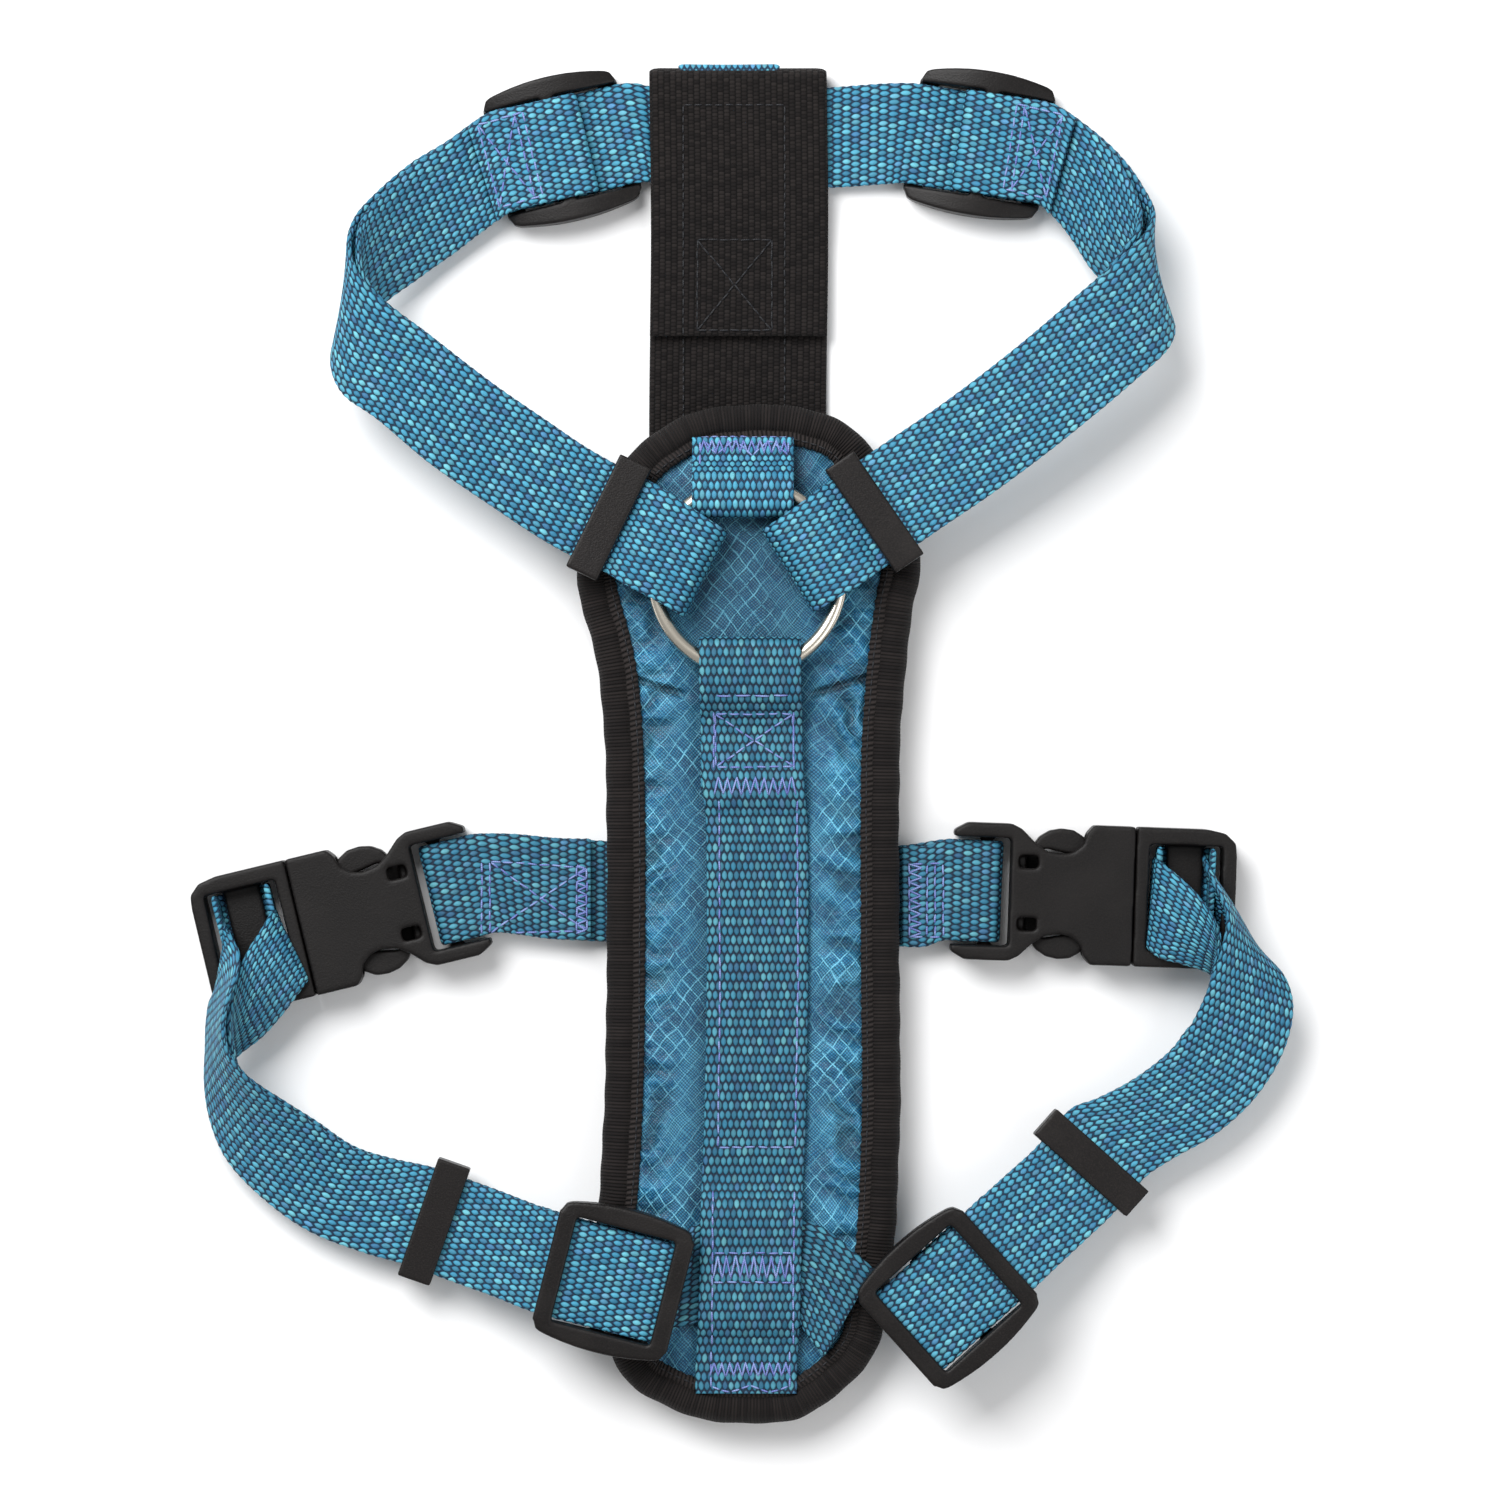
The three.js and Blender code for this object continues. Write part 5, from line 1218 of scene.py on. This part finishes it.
# ---- stitching ------------------------------------------------------------------------------
def bvh_of(obs):
    V, F, o = [], [], 0
    for ob in obs:
        n = len(ob.data.vertices)
        v = np.empty(n * 3); ob.data.vertices.foreach_get("co", v)
        V.append(v.reshape(-1, 3)); F += [tuple(i + o for i in p.vertices) for p in ob.data.polygons]
        o += n
    return BVHTree.FromPolygons(np.vstack(V).tolist(), F)


def thread_mesh(name, segs, bvh, mat, body, rad=0.26, lift=0.06, down=True):
    """Short thread stitches laid on a surface. segs are ((x, y), (x, y)) in mm."""
    V, F, uv = [], [], []
    NS, NC = 6, 5
    L0 = 0.0
    for (x0, y0), (x1, y1) in segs:
        P = []
        ok = True
        L = math.hypot(x1 - x0, y1 - y0)
        if L < 0.2:
            continue
        for i in range(NS + 1):
            f = i / NS
            x, y = x0 + (x1 - x0) * f, y0 + (y1 - y0) * f
            h = bvh.ray_cast(Vector((x, y, 60)) * 0.001, Vector((0, 0, -1))) if down else bvh.ray_cast(Vector((x, y, -30)) * 0.001, Vector((0, 0, 1)))
            if h[0] is None:
                ok = False; break
            n = h[1] if (h[1].z > 0) == down else -h[1]
            # the thread arches out of the cloth and dives in at both ends
            P.append((h[0] * 1000 + n * (lift + rad * 0.9 * math.sin(math.pi * f) ** 0.6 - 0.10), n))
        if not ok or max(p[0].z for p in P) - min(p[0].z for p in P) > 1.6:
            continue
        t = (P[-1][0] - P[0][0]).normalized()
        o = len(V)
        for i, (p, n) in enumerate(P):
            s = t.cross(n).normalized()
            rr = rad * (0.55 + 0.45 * math.sin(math.pi * i / NS) ** 0.5)
            for k in range(NC):
                a = 2 * math.pi * k / NC
                V.append(tuple(p + s * (rr * math.cos(a)) + n * (rr * 0.8 * math.sin(a))))
                uv.append((L0 + L * i / NS, k * 0.3))
        for i in range(NS):
            for k in range(NC):
                k2 = (k + 1) % NC
                F.append((o + i * NC + k, o + i * NC + k2, o + (i + 1) * NC + k2, o + (i + 1) * NC + k))
        F.append(tuple(o + k for k in range(NC)))
        F.append(tuple(o + NS * NC + k for k in range(NC - 1, -1, -1)))
        L0 += 3.3
    return make(name, V, F, mat, body, uv)


def line(pts, pitch=2.9, ln=2.4, jit=0.12):
    """Stitches along a polyline."""
    P = np.array(pts, float).reshape(-1, 2)
    seg = np.linalg.norm(np.diff(P, axis=0), axis=1)
    s = np.concatenate([[0], np.cumsum(seg)])
    out = []
    n = max(int(s[-1] / pitch), 1)
    pitch = s[-1] / n
    f = lambda q: (float(np.interp(q, s, P[:, 0])), float(np.interp(q, s, P[:, 1])))
    for i in range(n):
        a, b = f(i * pitch + (pitch - ln) / 2), f(i * pitch + (pitch + ln) / 2)
        j = lambda p: (p[0] + rng.uniform(-jit, jit), p[1] + rng.uniform(-jit, jit))
        out.append((j(a), j(b)))
    return out


def zig(x0, y0, x1, y1, across, pitch=0.9):
    """A bar tack: zigzag of the given height along a line."""
    d = Vector((x1 - x0, y1 - y0)); L = d.length; d.normalize()
    w = Vector((-d.y, d.x)) * across / 2
    n = int(L / pitch)
    o = []
    for i in range(n):
        a = Vector((x0, y0)) + d * (i * L / n); b = Vector((x0, y0)) + d * ((i + 1) * L / n)
        a = a + w if i % 2 else a - w
        b = b - w if i % 2 else b + w
        j = lambda: rng.uniform(-0.15, 0.15)
        o.append(((a.x + j(), a.y + j()), (b.x + j(), b.y + j())))
    return o


def xbox(c, cross=True, pitch=2.9):
    """A sewn box with a cross through its corners, c in order round the box."""
    o = []
    for i in range(4):
        o += line([c[i], c[(i + 1) % 4]], pitch)
    if cross:
        o += line([c[0], c[2]], pitch) + line([c[1], c[3]], pitch)
    return o


top_bvh = bvh_of(straps + [PAD, BIND])
S_ = []
# ring loop
S_ += line([(-9.44, 77.08), (12.56, 77.08)], 2.4, 2.0) + zig(-9.44, 74.58, 12.56, 74.58, 3.2, 1.0) + line([(-9.44, 77.83), (-5.44, 72.58), (-0.69, 76.33), (3.56, 72.33), (8.06, 76.33), (12.56, 72.33)], 2.2, 1.9)
S_ += zig(-9.94, 70.83, 13.06, 70.83, 2.4, 1.0) + line([(-9.44, 78.83), (-9.44, 69.83)], 2.4) + line([(12.56, 78.83), (12.56, 69.83)], 2.4)
# spine, front box and sides
S_ += line([(-5.69, 12.32), (13.06, 12.32)], 4.6, 3.6) + xbox([(-5.69, 7.83), (13.81, 7.83), (14.06, -5.42), (-5.44, -5.42)])
S_ += zig(-5.94, -10.18, 14.56, -10.18, 4.4, 1.1)
S_ += line([(-5.94, 11.32), (-5.94, -6.17)]) + line([(13.81, 11.32), (14.06, -6.17)])
S_ += line([(-4.69, -13.68), (-4.44, -58.67), (-4.94, -100.42)]) + line([(14.81, -13.68), (15.06, -58.67), (14.31, -100.42)]) + line([(-4.94, -100.42), (14.31, -100.42)])
S_ += zig(-6.19, -130.18, 14.06, -130.18, 5.6, 1.1) + line([(-6.19, -126.67), (14.06, -126.67)]) + line([(-6.44, -133.93), (13.81, -133.93)])
S_ += line([(-6.19, -111.17), (-6.44, -149.93)]) + line([(14.06, -111.17), (13.81, -149.93)])
S_ += zig(-6.94, -155.93, 13.06, -155.93, 3.4, 1.0) + line([(-6.69, -160.18), (-1.94, -161.68), (3.06, -159.93), (8.06, -161.68), (12.81, -160.18)], 2.4, 2.0)
S_ += line([(-6.69, -151.18), (-6.69, -160.68)]) + line([(13.06, -151.18), (13.06, -160.68)])
thread_mesh("spine_stitching", S_, top_bvh, M_THR, "root")
# left girth stub
S_ = xbox([(-62.19, -29.18), (-37.94, -30.68), (-37.94, -46.67), (-62.19, -47.17)]) + line([(-64.19, -29.18), (-64.19, -47.67)]) + line([(-40.44, -30.18), (-40.44, -47.17)]) + zig(-39.19, -30.18, -39.19, -47.17, 2.6, 1.0)
# right girth stub
S_ += xbox([(43.06, -29.68), (51.56, -29.68), (51.56, -48.17), (43.06, -48.17)], False) + zig(44.56, -29.68, 44.56, -48.17, 3.2, 1.1) + line([(47.56, -29.68), (47.56, -48.17)]) + line([(49.56, -29.68), (49.56, -48.17)])
thread_mesh("girth_stitching", S_, top_bvh, M_THR, "root")


def on_strap(surf, s, v):
    c, w, _ = surf.get([s])
    return (float(c[0][0] + w[0][0] / 12.7 * v), float(c[0][1] + w[0][1] / 12.7 * v))


for tag, surf, s in (("left", NL, sGL), ("right", NR, sGR)):
    q = lambda a, v: on_strap(surf, s + a, v)
    S_ = line([q(7.5, -11), q(7.5, 11)]) + line([q(9.5, -11), q(9.5, 11)]) + line([q(9.5, -10.5), q(19, 10.5)]) + line([q(9.5, 10.5), q(19, -10.5)]) + line([q(19, -11), q(19, 11)])
    a, b = q(21, -11.3), q(21, 11.3)
    S_ += zig(a[0], a[1], b[0], b[1], 3.0, 1.0) + line([q(7.5, 10.8), q(19, 10.8)]) + line([q(7.5, -10.8), q(19, -10.8)])
    thread_mesh("neck_adjuster_%s_stitching" % tag, S_, top_bvh, M_THR, "neck_adjuster_%s" % tag)

# chest panel outline, in black
panel_bvh = bvh_of([PANEL])
S_ = line([(-13.69, 160.82), (-13.69, 81.33)], 2.4, 2.0, 0.06) + line([(11.81, 160.82), (11.81, 81.33)], 2.4, 2.0, 0.06) + line([(-13.69, 160.82), (11.81, 160.82)], 2.4, 2.0, 0.06)
S_ += xbox([(-10.19, 127.08), (8.56, 127.08), (8.56, 104.33), (-10.19, 104.33)], True, 2.4)
thread_mesh("chest_panel_stitching", S_, panel_bvh, M_THRK, "root", rad=0.24)
# edge of the binding
ins = inset(OUT, np.full(NPL, 8.3))
bind_bvh = bvh_of([BIND])
S_ = line([tuple(p) for p in ins[::2]] + [tuple(ins[0])], 2.3, 1.9, 0.04)
thread_mesh("binding_stitching", S_, bind_bvh, M_THRK, "root", rad=0.22)
thread_mesh("binding_stitching_under", S_, bind_bvh, M_THRK, "root", rad=0.22, down=False)

# ---- floor, light and camera -------------------------------------------------------------------
def stage_mat():
    g = G("floor_white")
    o = g.obj()
    n = g.noise(o, 9.0, 2.0)
    c = g.mix(n, (0.93, 0.93, 0.935, 1), (0.95, 0.95, 0.955, 1))
    return g.finish(c, 0.75, None, spec=0.2)


bpy.ops.mesh.primitive_plane_add(size=6, location=(0, 0, -0.0002))
floor = bpy.context.object
floor.name = "floor"
floor.data.materials.append(stage_mat())

world = bpy.data.worlds.new("studio")
bpy.context.scene.world = world
world.use_nodes = True
world.node_tree.nodes["Background"].inputs[0].default_value = (1, 1, 1, 1)
world.node_tree.nodes["Background"].inputs[1].default_value = 0.42


def area(name, loc, size, power, target=(0, 0, 0)):
    d = bpy.data.lights.new(name, "AREA")
    d.shape = "RECTANGLE"; d.size = size[0]; d.size_y = size[1]
    d.energy = power
    ob = bpy.data.objects.new(name, d)
    ob.location = loc
    ob.rotation_euler = (Vector(target) - Vector(loc)).to_track_quat("-Z", "Y").to_euler()
    bpy.context.scene.collection.objects.link(ob)
    return ob


area("key", (-0.55, 0.75, 1.15), (0.9, 0.9), 27.0)
area("fill", (0.9, -0.3, 1.0), (0.9, 0.9), 5.0)

cam_d = bpy.data.cameras.new("camera")
cam = bpy.data.objects.new("camera", cam_d)
bpy.context.scene.collection.objects.link(cam)
cam_d.sensor_width = 36.0
cam_d.clip_start = 0.01
DIST = 1.60
cam_d.lens = 36.0 * DIST / 0.375
cam.location = ((3.06, -1.18)[0] * 0.001, (3.06, -1.18)[1] * 0.001, DIST + 0.014)
cam.rotation_euler = (0, 0, 0)
bpy.context.scene.camera = cam
bpy.context.scene.view_settings.view_transform = "Standard"

bpy.context.view_layer.update()
